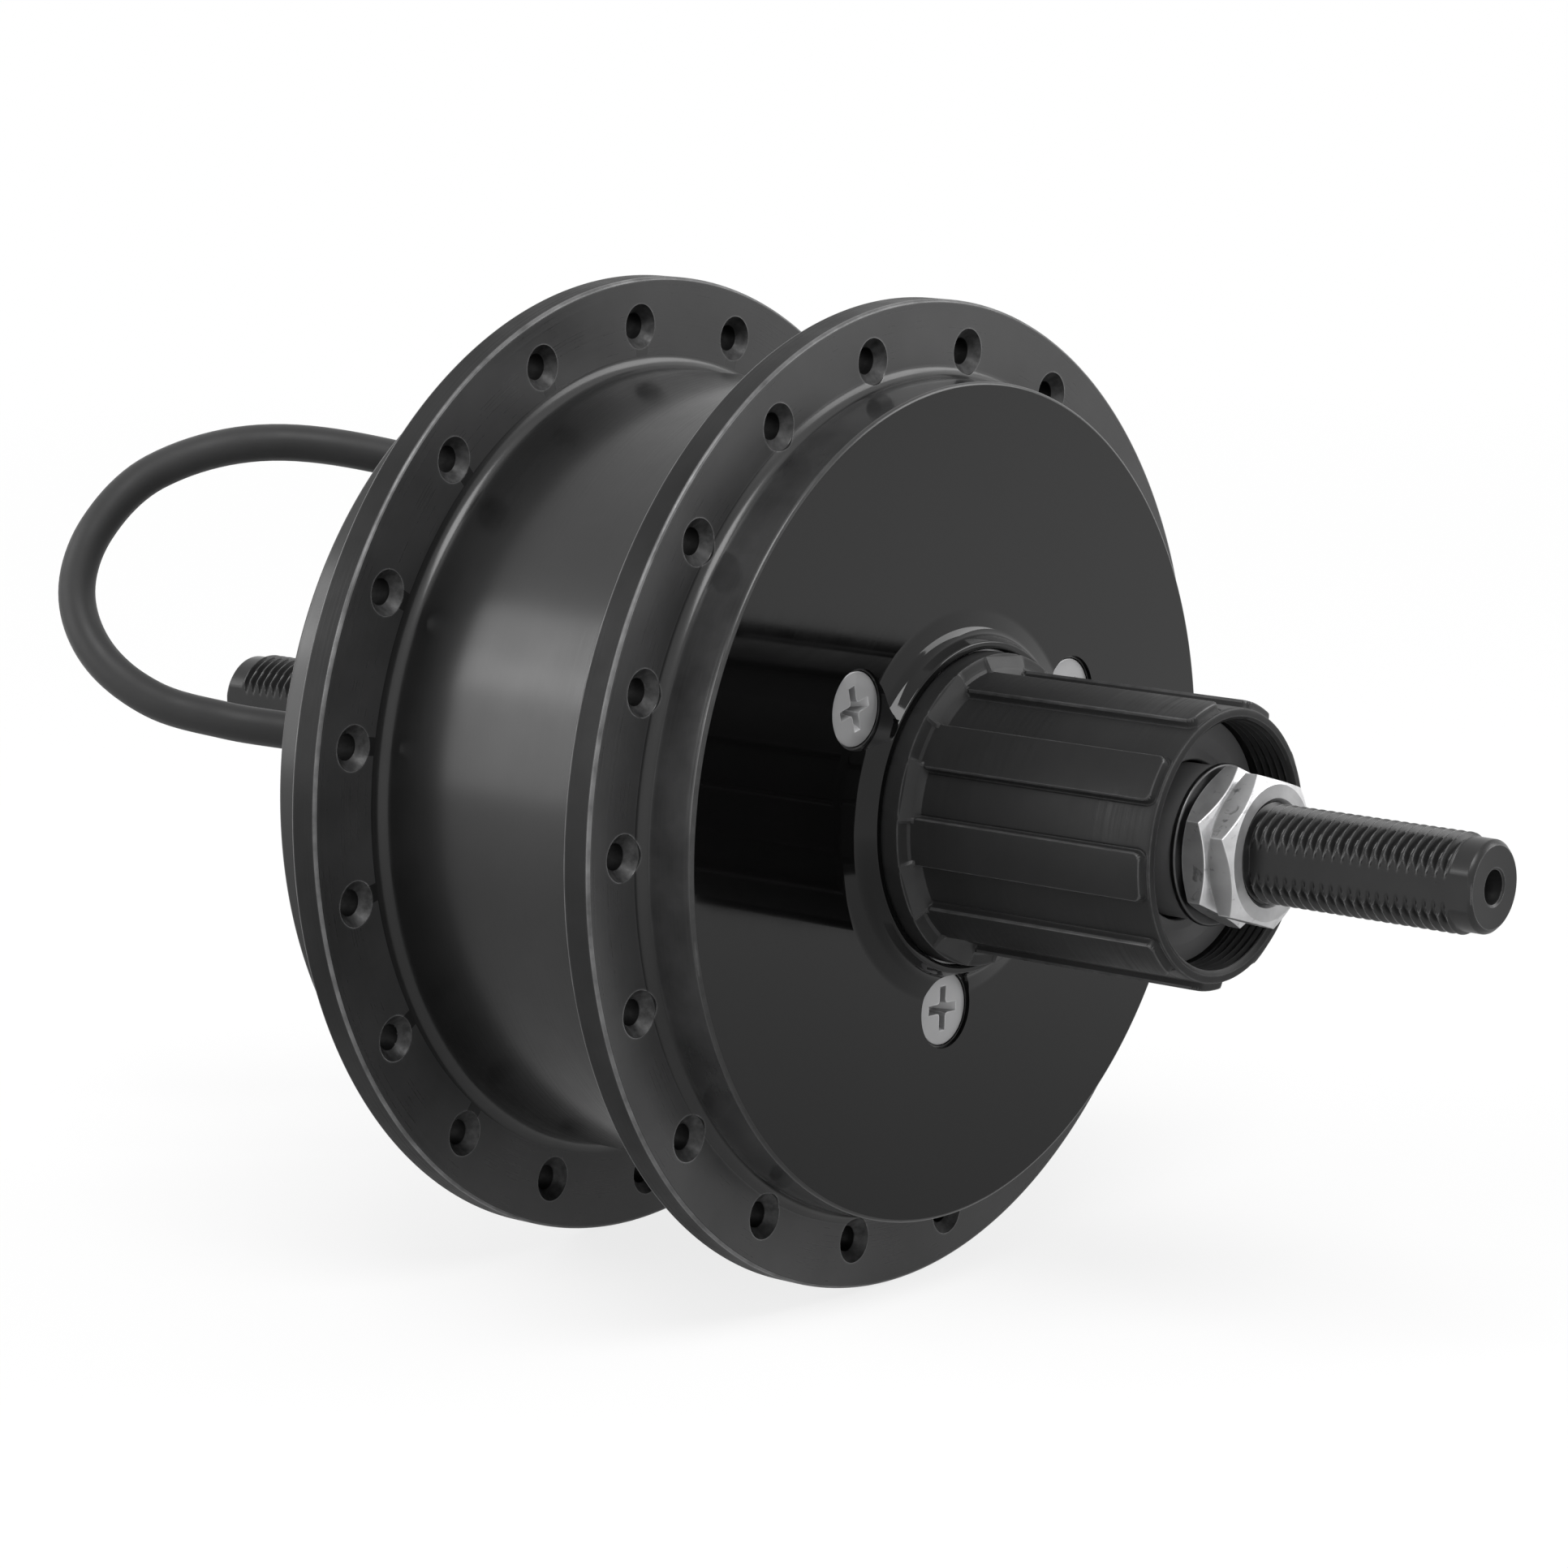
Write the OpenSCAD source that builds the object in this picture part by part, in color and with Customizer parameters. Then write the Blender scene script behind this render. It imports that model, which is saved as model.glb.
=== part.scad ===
// Geared rear hub motor for a bicycle wheel, with a splined freehub and a flexible cable.
// Every piece is turned about a local z axis that points to the drive side.
// The last step lays that axis along Y, with the drive side towards -Y and +Z up.
// The origin is on the axle, midway between the two dropout faces.

/* [Axle] */
// Distance between the two dropout faces
dropout_w = 135; // [130:1:138]
// Length of each threaded end outside its dropout face
stub_l = 30; // [24:1:36]
// Diameter of the threaded ends
axle_d = 12; // [11.6:0.1:12.4]
// Width across the two flats of each end
flat_w = 10; // [9:0.5:11]
// Length of the plain tip beyond the thread
tip_l = 3; // [2:0.5:5]
// Diameter of the plain tip
tip_d = 10.4; // [9:0.2:11]
// Diameter of the axle shoulder on the cable side
shoulder_d = 20; // [19:0.5:21]
// Diameter of the axle under the rotor bearings
rotor_seat_d = 15; // [14.4:0.2:15.6]
// Diameter of the axle inside the sun gear
sun_seat_d = 13; // [12.6:0.1:13.2]

/* [Shell] */
// Outside diameter of the barrel between the flanges
barrel_d = 99.4; // [92:0.2:106]
// Wall of the barrel
barrel_wall = 2.7; // [2.3:0.1:2.9]
// Height of both spoke flanges above the barrel
flange_h = 11.55; // [11:0.05:14]
// Thickness of a spoke flange
flange_t = 3.9; // [3.6:0.1:4.5]
// Distance from the middle of the axle to the drive flange face
flange_z = 14.5; // [14:0.1:15]
// Clear distance between the two spoke flanges
flange_gap = 38.8; // [38:0.1:41]
// Height of the closed drive end above its flange
drive_h = 7.46; // [7:0.1:8]
// Step from the barrel out to the wall of the closed drive end
drive_step = 2.08; // [1.6:0.04:2.4]
// Thickness of the closed drive end
disc_t = 3.5; // [3.2:0.1:3.8]
// Height of the boss round the freehub
boss_h = 2.8; // [2.4:0.1:3.2]
// Outside diameter of the boss
boss_d = 45.6; // [45:0.1:46]
// Bore of the boss
boss_bore_d = 38.9; // [38.7:0.1:39.3]

/* [Spoke holes] */
// Number of spoke holes in each flange
spoke_n = 18; // [16:1:20]
// Distance of the circle of spoke holes inside the rim
spoke_in = 6.05; // [5.4:0.05:6.2]
// Diameter of a spoke hole
spoke_d = 3.2; // [2.8:0.1:3.4]
// Diameter of the countersink on the face that shows
spoke_csk_d = 6.2; // [5.6:0.1:6.4]
// Angle of the first hole in the drive flange
spoke_a_drive = 18.3; // [0:0.1:20]
// Angle of the first hole in the cable flange
spoke_a_cable = 10.3; // [0:0.1:20]

/* [Cable side cover] */
// Step from the barrel out to the cover and the collar that it sits on
cover_step = 3.5; // [3.3:0.1:4]
// Thickness of the cover at its rim
cover_t = 5; // [4.6:0.1:5.4]
// Height of the collar above the cable flange
collar_h = 4.8; // [4.4:0.1:5.2]
// Distance of the brake rotor face from the cable side dropout
rotor_face_in = 15.3; // [15:0.1:16]
// Diameter of the brake rotor boss
rotor_boss_d = 54; // [53:0.5:56]
// Diameter of the circle of rotor screws
rotor_pcd = 44; // [43:0.1:45]
// Diameter of a tapped rotor screw hole
rotor_hole_d = 4.2; // [4:0.1:4.4]
// Diameter of the spigot that centres the rotor
spigot_d = 34.9; // [34.5:0.1:35.1]
// Number of cover screws
cover_screw_n = 8; // [6:1:10]

/* [Screws of the drive end] */
// Number of countersunk screws beside the boss
drive_screw_n = 3; // [3:1:4]
// Diameter of their circle
drive_screw_pcd = 50.6; // [50:0.1:51]
// Angle of the first screw
drive_screw_a = 24.1; // [0:0.1:120]
// Head diameter
drive_head_d = 9.3; // [9:0.1:9.6]
// Thread diameter
drive_screw_d = 5; // [4.6:0.1:5.2]
// Length under the top of the head
drive_screw_l = 8; // [7:0.5:9]

/* [Freehub] */
// Diameter over the spline ridges
spline_d = 34.8; // [34.6:0.1:35]
// Diameter of the grooves between the ridges
groove_d = 32.9; // [32.4:0.1:33.2]
// Number of spline ridges
ridge_n = 9; // [8:1:10]
// Width of a ridge as an angle
ridge_w = 20; // [16:0.5:23]
// Angle of the first ridge
ridge_a = 23.4; // [0:0.1:40]
// Distance of the freehub mouth from the drive side dropout
mouth_in = 6.2; // [5.5:0.1:7]
// Length of the smooth ring outside the ridges
end_ring = 0.8; // [0.5:0.1:1.5]
// Diameter of the mouth
mouth_d = 30.2; // [29.6:0.1:30.4]
// Depth of the mouth
mouth_l = 6.8; // [6:0.1:7]
// Diameter of the shoulder ring beside the shell
ring_d = 38.4; // [38:0.1:38.5]
// Thickness of the shoulder ring
ring_t = 3; // [2.6:0.1:3.2]
// Number of teeth in the ratchet
ratchet_n = 24; // [18:1:30]
// Number of pawls
pawl_n = 3; // [2:1:4]

/* [Nuts] */
// Width across the flats of the jam nuts
nut_af = 17; // [16:0.2:18]
// Thickness of a jam nut
nut_t = 3.6; // [3.2:0.1:4]
// Thickness of the washer under the inner nut
washer_t = 0.8; // [0.6:0.1:1]
// Diameter of the washer
washer_d = 19.4; // [18.6:0.2:20]

/* [Gears] */
// Wall of the ring gear outside its teeth, which sets the module of all the gears
ring_wall = 4.75; // [3:0.05:5.5]
// Teeth of the sun gear
sun_z = 20; // [19:1:22]
// Teeth of a planet gear
planet_z = 31; // [29:1:32]
// Width of the gears
gear_w = 10; // [9:0.2:10.6]
// Angle of the first planet gear
planet_a = 90; // [0:1:119]
// Width of the one-way clutch
clutch_w = 6; // [5.6:0.1:6.4]
// Number of clutch rollers
roller_n = 6; // [4:1:6]
// Diameter of a planet pin
pin_d = 8; // [7:0.2:8.4]

/* [Motor] */
// Number of magnets
magnet_n = 16; // [14:2:18]
// Number of stator teeth
tooth_n = 18; // [15:3:18]
// Thickness of a magnet
magnet_t = 2.3; // [2:0.1:2.6]
// Thickness of the rotor bell
bell_t = 2.5; // [2.2:0.1:2.8]
// Thickness of the bell's end plate
plate_t = 3.5; // [3.2:0.1:3.8]
// Width of the neck of a stator tooth
neck_w = 5.5; // [5:0.1:6]

/* [Cable] */
// Diameter of the cable
cable_d = 4.9; // [4.7:0.1:5.1]
// Angle between the cable outlet and the axle
outlet_a = 32; // [30:1:34]
// Distance of the cable outlet from the cable side dropout
outlet_in = 7.5; // [7:0.1:8]
// Diameter of the plug
plug_d = 12.4; // [11.5:0.1:13]
// Length of the plug
plug_l = 40; // [36:1:44]

/* [Hidden] */
$fn = 96;
fine_fn = 160;

// Clearances
fit = 0.02;
run = 0.05;
free = 0.3;
stator_gap = 0.6;
cut = 1;

// The planet gears are nodes of their own, so their number is fixed
planet_n = 3;

// Stations along the axle, from the drive side to the cable side
z_drop = dropout_w / 2;
z_end = z_drop + stub_l;
z_thread = z_end - tip_l;
nut_gap = 0.1;
z_nut = z_drop - nut_t;
z_inner_nut = z_nut - nut_gap - nut_t;
z_washer = z_inner_nut - washer_t;
z_mouth = z_drop - mouth_in;
z_mouth_floor = z_mouth - mouth_l;
z_disc = flange_z + drive_h;
z_boss = z_disc + boss_h;
z_inside = z_disc - disc_t;
shell_bearing_w = 8;
cup_lip = 1;
z_lip = z_inside - 0.4;
z_sb1 = z_lip - cup_lip;
z_sb0 = z_sb1 - shell_bearing_w;
z_clutch1 = z_sb0 - 0.7;
z_clutch0 = z_clutch1 - clutch_w;
gear_side = 1;
z_gear1 = z_clutch0 - gear_side;
z_gear0 = z_gear1 - gear_w;
plate_side = 0.8;
z_plate1 = z_gear0 - plate_side;
z_plate0 = z_plate1 - plate_t;
rotor_bearing_w = 5;
rotor_bearing_gap = 5;
z_rb0 = z_plate0 - 2 * rotor_bearing_w - rotor_bearing_gap;
z_rb1 = z_plate0 - rotor_bearing_w;
z_flange_in = flange_z - flange_t - flange_gap;
z_flange_out = z_flange_in - flange_t;
z_collar = z_flange_out - collar_h;
z_cover = z_collar - cover_t;
register_l = 2.9;
z_register = z_collar + register_l;
z_oring = z_collar + register_l / 2;
cover_web = 2.4;
z_cover_in = z_cover + cover_web;
z_rotor_face = rotor_face_in - z_drop;
spigot_h = 2;
z_spigot = z_rotor_face - spigot_h;
seal_depth = 4.2;
z_seal_seat = z_spigot + seal_depth;
winding_side = 1.7;
overhang = 2.8;
z_coil0 = z_cover_in + winding_side;
z_coil1 = z_plate0 - 1;
z_stack0 = z_coil0 + overhang;
z_stack1 = z_coil1 - overhang;
z_magnet0 = z_stack0 - 1;
z_magnet1 = z_stack1 + 1;

// Radii
axle_r = axle_d / 2;
shoulder_r = shoulder_d / 2;
rotor_seat_r = rotor_seat_d / 2;
sun_seat_r = sun_seat_d / 2;
barrel_r = barrel_d / 2;
shell_r = barrel_r - barrel_wall;
flange_r = barrel_r + flange_h;
drive_r = barrel_r + drive_step;
cover_r = barrel_r + cover_step;
spoke_pcd = 2 * (flange_r - spoke_in);
boss_r = boss_d / 2;
boss_bore_r = boss_bore_d / 2;
groove_r = groove_d / 2;
spline_r = spline_d / 2;
mouth_r = mouth_d / 2;
bell_r = shell_r - 2.5;
core_r = bell_r - bell_t - magnet_t - stator_gap;
core_in_r = core_r - 12;
race_in_r = axle_r + 8.3;
roller_r = 1.95;
sun_shank_r = sun_seat_r + 2.5;
seal_r = shoulder_r + 4.5;
seal_in_r = washer_d / 2 - 0.2;

// Bearings, as [bore radius, outside radius, width]
shield_gap = 0.15;
shell_bearing = [axle_r, axle_r + 8, shell_bearing_w];
hub_bearing = [axle_r, axle_r + 6, 6];
rotor_bearing = [rotor_seat_r, rotor_seat_r + 4.5, rotor_bearing_w];
cable_bearing = [shoulder_r, shoulder_r + 6, 7];

// Freehub stations
z_base0 = z_lip + 0.5;
z_ring0 = z_boss - 0.8;
z_ring1 = z_ring0 + ring_t;
z_hb0 = z_ring1;
z_hb1 = z_mouth_floor - 2.5 - hub_bearing[2];
z_cb1 = z_cover_in - 2.5;
z_cb0 = z_cb1 - cable_bearing[2];
pawl_side = 0.7;
z_pawl = z_base0 + pawl_side;
pawl_w = z_ring0 - z_base0 - 2 * pawl_side;
pawl_a = 24;

// Gear sizes
ring_z = sun_z + 2 * planet_z;
root_share = 1.25;
gear_m = (shell_r - ring_wall) / (ring_z / 2 + root_share);
sun_r = gear_m * sun_z / 2;
planet_r = gear_m * planet_z / 2;
ring_r = gear_m * ring_z / 2;
centre_r = sun_r + planet_r;
addendum = gear_m;
dedendum = root_share * gear_m;
pressure_a = 20;
backlash = 0.07;
flank_steps = 4;
ratchet_tip_r = 15.4;
ratchet_root_r = 16.6;
pawl_carrier_r = 15.1;
pin_r = pin_d / 2;
carrier_w = 4;
bush_t = 2;
z_planet0 = z_gear0 + 0.8;
z_planet1 = z_gear1 + 0.6;

// Screws
drive_head_r = drive_head_d / 2;
z_drive_head = z_disc - 0.5;
cover_screw_d = 3;
cover_head_d = 5.4;
cover_screw_l = 9.5;
cover_screw_pcd = shell_r + cover_r;
head_rim = 0.3;
recess_w = 1.1;

// Stations along the cable outlet, from the point where it crosses the axle's middle line
grommet_r = cable_d / 2 + 0.95;
neck_l = 4.5;
z_cross = z_drop - outlet_in - shoulder_r / tan(outlet_a);
grommet_seat = shoulder_r / sin(outlet_a) - 5;
grommet_mouth = shoulder_r / sin(outlet_a) + neck_l;
grommet_tip = grommet_mouth + neck_l;
cable_socket = 3;

// Stator hub and its key
z_stator_web0 = z_coil0 + 1.8;
stator_hub_l = 6;
stator_key_l = 6;
stator_key_h = 4;
key_w = 4;

function polar(r, a) = [r * cos(a), r * sin(a)];

function arc(c, r, a0, a1, n = 6) = [for (i = [0:n]) c + polar(r, a0 + (a1 - a0) * i / n)];

// Involute gear outlines

function involute(rb, r) = let (a = acos(min(1, rb / r))) tan(a) * 180 / PI - a;

function half_tooth(z, r, widen) =
    let (rp = gear_m * z / 2, rb = rp * cos(pressure_a))
    90 / z + involute(rb, rp) - involute(rb, max(r, rb)) + widen / rp * 180 / PI;

function flank_radii(z, root, tip) =
    let (rb = gear_m * z / 2 * cos(pressure_a), start = max(root, rb))
    concat(root < rb ? [root] : [], [for (i = [0:flank_steps]) start + (tip - start) * i / flank_steps]);

function gear_outline(z, root, tip, widen) =
    let (radii = flank_radii(z, root, tip), last = len(radii) - 1)
    [for (k = [0:z - 1]) each concat(
        [for (i = [0:last]) polar(radii[i], 360 * k / z - half_tooth(z, radii[i], widen))],
        [for (i = [last:-1:0]) polar(radii[i], 360 * k / z + half_tooth(z, radii[i], widen))])];

// Planets stand where sun and ring teeth line up, as near as can be to an even spacing
mesh_step = 360 / (sun_z + ring_z);

function planet_angle(k) = planet_a + mesh_step * round(360 * k / planet_n / mesh_step);

function planet_turn(k) =
    let (a = planet_angle(k))
    a + 180 - 360 / planet_z * (0.5 - (a - planet_a) * sun_z / 360);

// Angle of one tooth of the ring gear
ring_turn = planet_a - 360 / ring_z * ((planet_a - planet_turn(0)) * planet_z / 360 - 0.5);

// Shared forms

module lay() { rotate([90, 0, 0]) children(); }

module turned(points) { rotate_extrude($fn = fine_fn) polygon(points); }

module tube(z0, z1, r_in, r_out) {
    translate([0, 0, z0]) difference() {
        cylinder(h = z1 - z0, r = r_out);
        translate([0, 0, -cut]) cylinder(h = z1 - z0 + 2 * cut, r = r_in);
    }
}

module around(n, r, a0) {
    for (k = [0:n - 1]) rotate(a0 + 360 * k / n) translate([r, 0, 0]) children();
}

module inner_race(z0, b) {
    tube(z0, z0 + b[2], b[0] + fit, b[0] + (b[1] - b[0]) * 0.3);
}

// Outer race with its two shields, as one turned profile
module outer_race(z0, b) {
    step = b[1] - b[0];
    shield_r = b[0] + step * 0.3 + shield_gap;
    race_r = b[1] - step * 0.28;
    shield = 0.6;
    z1 = z0 + b[2];
    turned([[b[1] - fit, z0], [b[1] - fit, z1], [shield_r, z1], [shield_r, z1 - shield],
        [race_r, z1 - shield], [race_r, z0 + shield], [shield_r, z0 + shield], [shield_r, z0]]);
}

// Countersunk screw with its head up and a cross recess
module csk_screw(z_top, d, head_d, length) {
    cone = (head_d - d) / 2;
    translate([0, 0, z_top]) difference() {
        rotate_extrude($fn = 64) polygon([[0, 0], [head_d / 2, 0], [head_d / 2, -head_rim],
            [d / 2, -head_rim - cone], [d / 2, -length + 0.5], [d / 2 - 0.5, -length], [0, -length]]);
        cross_recess(head_d);
    }
}

module cross_recess(head_d) {
    depth = head_d * 0.26;
    wide = head_d * 0.28;
    slot = head_d * 0.06;
    for (a = [0, 90]) rotate(a) intersection() {
        translate([-wide, -slot, -depth]) cube([2 * wide, 2 * slot, depth + cut]);
        translate([0, 0, -depth]) cylinder(h = depth + 0.01, r1 = 2 * slot, r2 = wide);
    }
}

module csk_hole(z_top, d, head_d, through) {
    cone = (head_d - d) / 2;
    translate([0, 0, z_top]) rotate_extrude($fn = 64) polygon([[0, cut], [head_d / 2 + 0.05, cut],
        [head_d / 2 + 0.05, -head_rim - 0.05], [d / 2 + 0.1, -head_rim - 0.05 - cone + 0.05],
        [d / 2 + 0.1, -through], [0, -through]]);
}

// Pieces on the axle

module axle() {
    centre_r = 2.25;
    drill_r = 1.2;
    drill_l = 5;
    bevel = 0.6;
    step = 0.4;
    tip_r = tip_d / 2;
    thread_fall = axle_r - tip_r;
    flat_side = flat_w / 2;
    inlet_a = 50;
    outlet_r = cable_d / 2 + run;
    inlet_r = outlet_r - 0.4;
    color("dimgray") lay() difference() {
        turned([[0, z_end], [tip_r - bevel, z_end], [tip_r, z_end - bevel], [tip_r, z_thread + step],
            [axle_r, z_thread - thread_fall], [axle_r, z_clutch0], [sun_seat_r, z_clutch0],
            [sun_seat_r, z_plate0], [rotor_seat_r, z_plate0], [rotor_seat_r, z_rb0],
            [shoulder_r, z_rb0], [shoulder_r, -z_drop], [axle_r, -z_drop],
            [axle_r, -z_thread + thread_fall], [tip_r, -z_thread - step],
            [tip_r, -z_end + bevel], [tip_r - bevel, -z_end], [0, -z_end]]);
        for (z = [z_drop, -z_end - cut]) for (x = [flat_side, -flat_side - axle_r])
            translate([x, -axle_r - cut, z]) cube([axle_r, 2 * (axle_r + cut), stub_l + cut]);
        for (end = [0, 180]) rotate([end, 0, 0]) translate([0, 0, z_end]) {
            translate([0, 0, bevel - centre_r]) cylinder(h = centre_r, r1 = bevel, r2 = centre_r + bevel);
            translate([0, 0, -drill_l]) cylinder(h = drill_l, r = drill_r);
        }
        translate([0, 0, -z_cross]) {
            rotate([0, 180 + outlet_a, 0]) {
                translate([0, 0, -inlet_r]) cylinder(h = 3 * shoulder_r, r = outlet_r);
                translate([0, 0, grommet_seat]) cylinder(h = 2 * shoulder_r, r = grommet_r);
            }
            rotate([0, inlet_a, 0]) cylinder(h = 2 * shoulder_r, r = inlet_r);
        }
        translate([shoulder_r - 2, -key_w / 2, z_stator_web0]) cube([4, key_w, stator_key_l]);
    }
}

// Laminated core with its teeth
module stator_core() {
    yoke = 3.5;
    tip_t = 2.2;
    slot_w = 2.4;
    in_r = core_in_r;
    color("slategray") lay() translate([0, 0, z_stack0]) linear_extrude(z_stack1 - z_stack0) {
        difference() {
            circle(r = in_r + yoke);
            circle(r = in_r);
        }
        for (k = [0:tooth_n - 1]) rotate(360 * k / tooth_n)
            translate([in_r + yoke / 2, -neck_w / 2])
                square([core_r - in_r - (yoke + tip_t) / 2, neck_w]);
        difference() {
            circle(r = core_r);
            circle(r = core_r - tip_t);
            for (k = [0:tooth_n - 1]) rotate(360 * (k + 0.5) / tooth_n)
                translate([0, -slot_w / 2]) square([core_r + cut, slot_w]);
        }
    }
}

// One coil round each tooth
module windings() {
    coil_in = core_r - 7.8;
    coil_l = 5;
    pitch_w = 2 * coil_in * tan(180 / tooth_n) - 0.6;
    neck_gap = 0.1;
    color("peru") lay() for (k = [0:tooth_n - 1]) rotate(360 * k / tooth_n) difference() {
        translate([coil_in, -pitch_w / 2, z_coil0]) cube([coil_l, pitch_w, z_coil1 - z_coil0]);
        translate([coil_in - cut, -neck_w / 2 - neck_gap, z_stack0 - neck_gap])
            cube([coil_l + 2 * cut, neck_w + 2 * neck_gap, z_stack1 - z_stack0 + 2 * neck_gap]);
    }
}

module stator_carrier() {
    rim_r = core_in_r - fit;
    rim_t = 3;
    web_t = 4;
    hub_t = 5;
    hole_d = 5;
    color("lightgray") lay() difference() {
        union() {
            tube(z_stator_web0, z_stator_web0 + stator_hub_l, shoulder_r + fit, shoulder_r + hub_t);
            tube(z_stator_web0, z_stator_web0 + web_t, shoulder_r + hub_t - 1, rim_r);
            tube(z_stator_web0, z_stack1, rim_r - rim_t, rim_r);
        }
        around(6, (rim_r + shoulder_r) / 2 + 1, 30) translate([0, 0, z_stator_web0 - cut])
            cylinder(h = web_t + 2 * cut, d = hole_d);
        translate([0, -key_w / 2 - fit, z_stator_web0 - cut])
            cube([shoulder_r + stator_key_h - 2, key_w + 2 * fit, stator_hub_l + 2 * cut]);
    }
}

module stator_key() {
    color("silver") lay() translate([shoulder_r - 2 + fit, -key_w / 2 + fit, z_stator_web0 + fit])
        cube([stator_key_h - 2 * fit, key_w - 2 * fit, stator_key_l - 2 * fit]);
}

// Sensor board on the cable side of the carrier
module hall_board() {
    board_t = 1.5;
    board_r = core_in_r + 1.5;
    sensor = [3, 4, 1.2];
    color("darkgreen") lay() {
        translate([0, 0, z_stator_web0 - board_t]) difference() {
            cylinder(h = board_t, r = board_r);
            translate([0, 0, -cut]) cylinder(h = board_t + 2 * cut, r = shoulder_r + 6);
            rotate(-60) translate([0, 0, -cut]) cube([2 * board_r, 2 * board_r, board_t + 2 * cut]);
        }
    }
    color("black") lay() around(3, board_r - 5, 100)
        translate([-sensor[0] / 2, -sensor[1] / 2, z_stator_web0 - board_t - sensor[2]]) cube(sensor);
}

// One-way clutch between the axle and the planet carrier

module clutch_cam() {
    side = 0.4;
    ramp = 1.2;
    collar_t = 2.4;
    color("silver") lay() difference() {
        union() {
            tube(z_clutch0 + fit, z_clutch1, axle_r + fit, race_in_r - side);
            tube(z_clutch1 - cut, z_sb0, axle_r + fit, axle_r + collar_t);
        }
        around(roller_n, race_in_r - 2 * roller_r - 2 * fit, 0)
            translate([0, -roller_r - side, z_clutch0 - cut])
                cube([2 * roller_r + cut, 2 * (roller_r + side) + ramp - side, clutch_w + 2 * cut]);
    }
}

module clutch_rollers() {
    color("gainsboro") lay() around(roller_n, race_in_r - roller_r - fit, 0)
        translate([0, 0, z_clutch0 + 0.4]) cylinder(h = clutch_w - 0.8, r = roller_r - fit, $fn = 48);
}

module planet_carrier() {
    band = 3.6;
    disc_w = carrier_w;
    disc_r = centre_r + pin_r + 3;
    hole_d = 9;
    color("silver") lay() difference() {
        union() {
            tube(z_clutch0, z_clutch1, race_in_r, race_in_r + band);
            tube(z_clutch0, z_clutch0 + disc_w, race_in_r + band - cut, disc_r);
        }
        for (k = [0:planet_n - 1]) {
            rotate(planet_angle(k)) translate([centre_r, 0, z_clutch0 - cut])
                cylinder(h = disc_w + 2 * cut, r = pin_r + fit);
            rotate(planet_angle(k) + 180 / planet_n) translate([centre_r - 0.6, 0, z_clutch0 - cut])
                cylinder(h = disc_w + 2 * cut, d = hole_d);
        }
    }
}

module planet_pins() {
    head = 0.3;
    groove = 0.4;
    groove_w = 0.6;
    z0 = z_gear0 - head;
    z_groove = z_gear0 + groove_w;
    pin_top = z_clutch0 + carrier_w;
    color("gainsboro") lay() for (k = [0:planet_n - 1]) rotate(planet_angle(k)) translate([centre_r, 0, 0])
        turned([[0, z0], [pin_r - head, z0], [pin_r, z_gear0], [pin_r - groove, z_gear0],
            [pin_r - groove, z_groove], [pin_r, z_groove], [pin_r, pin_top], [0, pin_top]]);
}

// Spring clips that keep the planets on their pins
module pin_clips() {
    z0 = z_gear0 + 0.02;
    clip_t = 0.5;
    clip_r = pin_r + 1.5;
    bore = pin_r - 0.38;
    mouth = 3;
    color("gray") lay() for (k = [0:planet_n - 1])
        rotate(planet_angle(k)) translate([centre_r, 0, z0]) difference() {
            cylinder(h = clip_t, r = clip_r);
            translate([0, 0, -cut]) cylinder(h = clip_t + 2 * cut, r = bore);
            translate([0, -mouth / 2, -cut]) cube([2 * pin_r, mouth, clip_t + 2 * cut]);
        }
}

// Sleeves that space the bearings along the axle
module axle_sleeves() {
    wall = 1.7;
    rotor_wall = 1.3;
    color("silver") lay() {
        tube(z_sb1, z_hb0, axle_r + fit, axle_r + wall);
        tube(z_hb0 + hub_bearing[2], z_hb1, axle_r + fit, axle_r + wall);
        tube(z_rb0 + rotor_bearing_w, z_rb1, rotor_seat_r + fit, rotor_seat_r + rotor_wall);
    }
}

module inner_races() {
    color("gainsboro") lay() {
        inner_race(z_sb0, shell_bearing);
        inner_race(z_hb0, hub_bearing);
        inner_race(z_hb1, hub_bearing);
        inner_race(z_rb0, rotor_bearing);
        inner_race(z_rb1, rotor_bearing);
        inner_race(z_cb0, cable_bearing);
    }
}

module outer_spacer() {
    z0 = z_hb1 + hub_bearing[2];
    nose_r = axle_r + 2.2;
    wide_r = seal_in_r - free;
    color("black") lay() turned([[axle_r + fit, z0], [axle_r + fit, z_washer], [wide_r, z_washer],
        [wide_r, z_mouth_floor - 1.6], [nose_r, z_mouth_floor - 2.4], [nose_r, z0]]);
}

module washer() {
    color("dimgray") lay() tube(z_washer, z_inner_nut, axle_r + fit, washer_d / 2);
}

// Hexagon nut chamfered on both faces
module jam_nut(z0, turn) {
    corner = nut_af / 2 / cos(30);
    face_r = nut_af / 2 - 0.3;
    cone_r = corner + 0.3;
    fall = (cone_r - face_r) * tan(30);
    bevel = 0.5;
    z1 = z0 + nut_t;
    difference() {
        intersection() {
            rotate(turn) translate([0, 0, z0]) cylinder(h = nut_t, r = corner, $fn = 6);
            turned([[0, z0], [face_r, z0], [cone_r, z0 + fall], [cone_r, z1 - fall],
                [face_r, z1], [0, z1]]);
        }
        turned([[0, z0 - cut], [axle_r + bevel + cut, z0 - cut], [axle_r + fit, z0 + bevel],
            [axle_r + fit, z1 - bevel], [axle_r + bevel + cut, z1 + cut], [0, z1 + cut]]);
    }
}

module inner_nut() { color("silver") lay() jam_nut(z_inner_nut, 33); }

module outer_nut() { color("silver") lay() jam_nut(z_nut, 42); }

// Cable with its grommet and plug

module at_outlet() {
    lay() translate([0, 0, -z_cross]) rotate([0, 180 + outlet_a, 0]) children();
}

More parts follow.
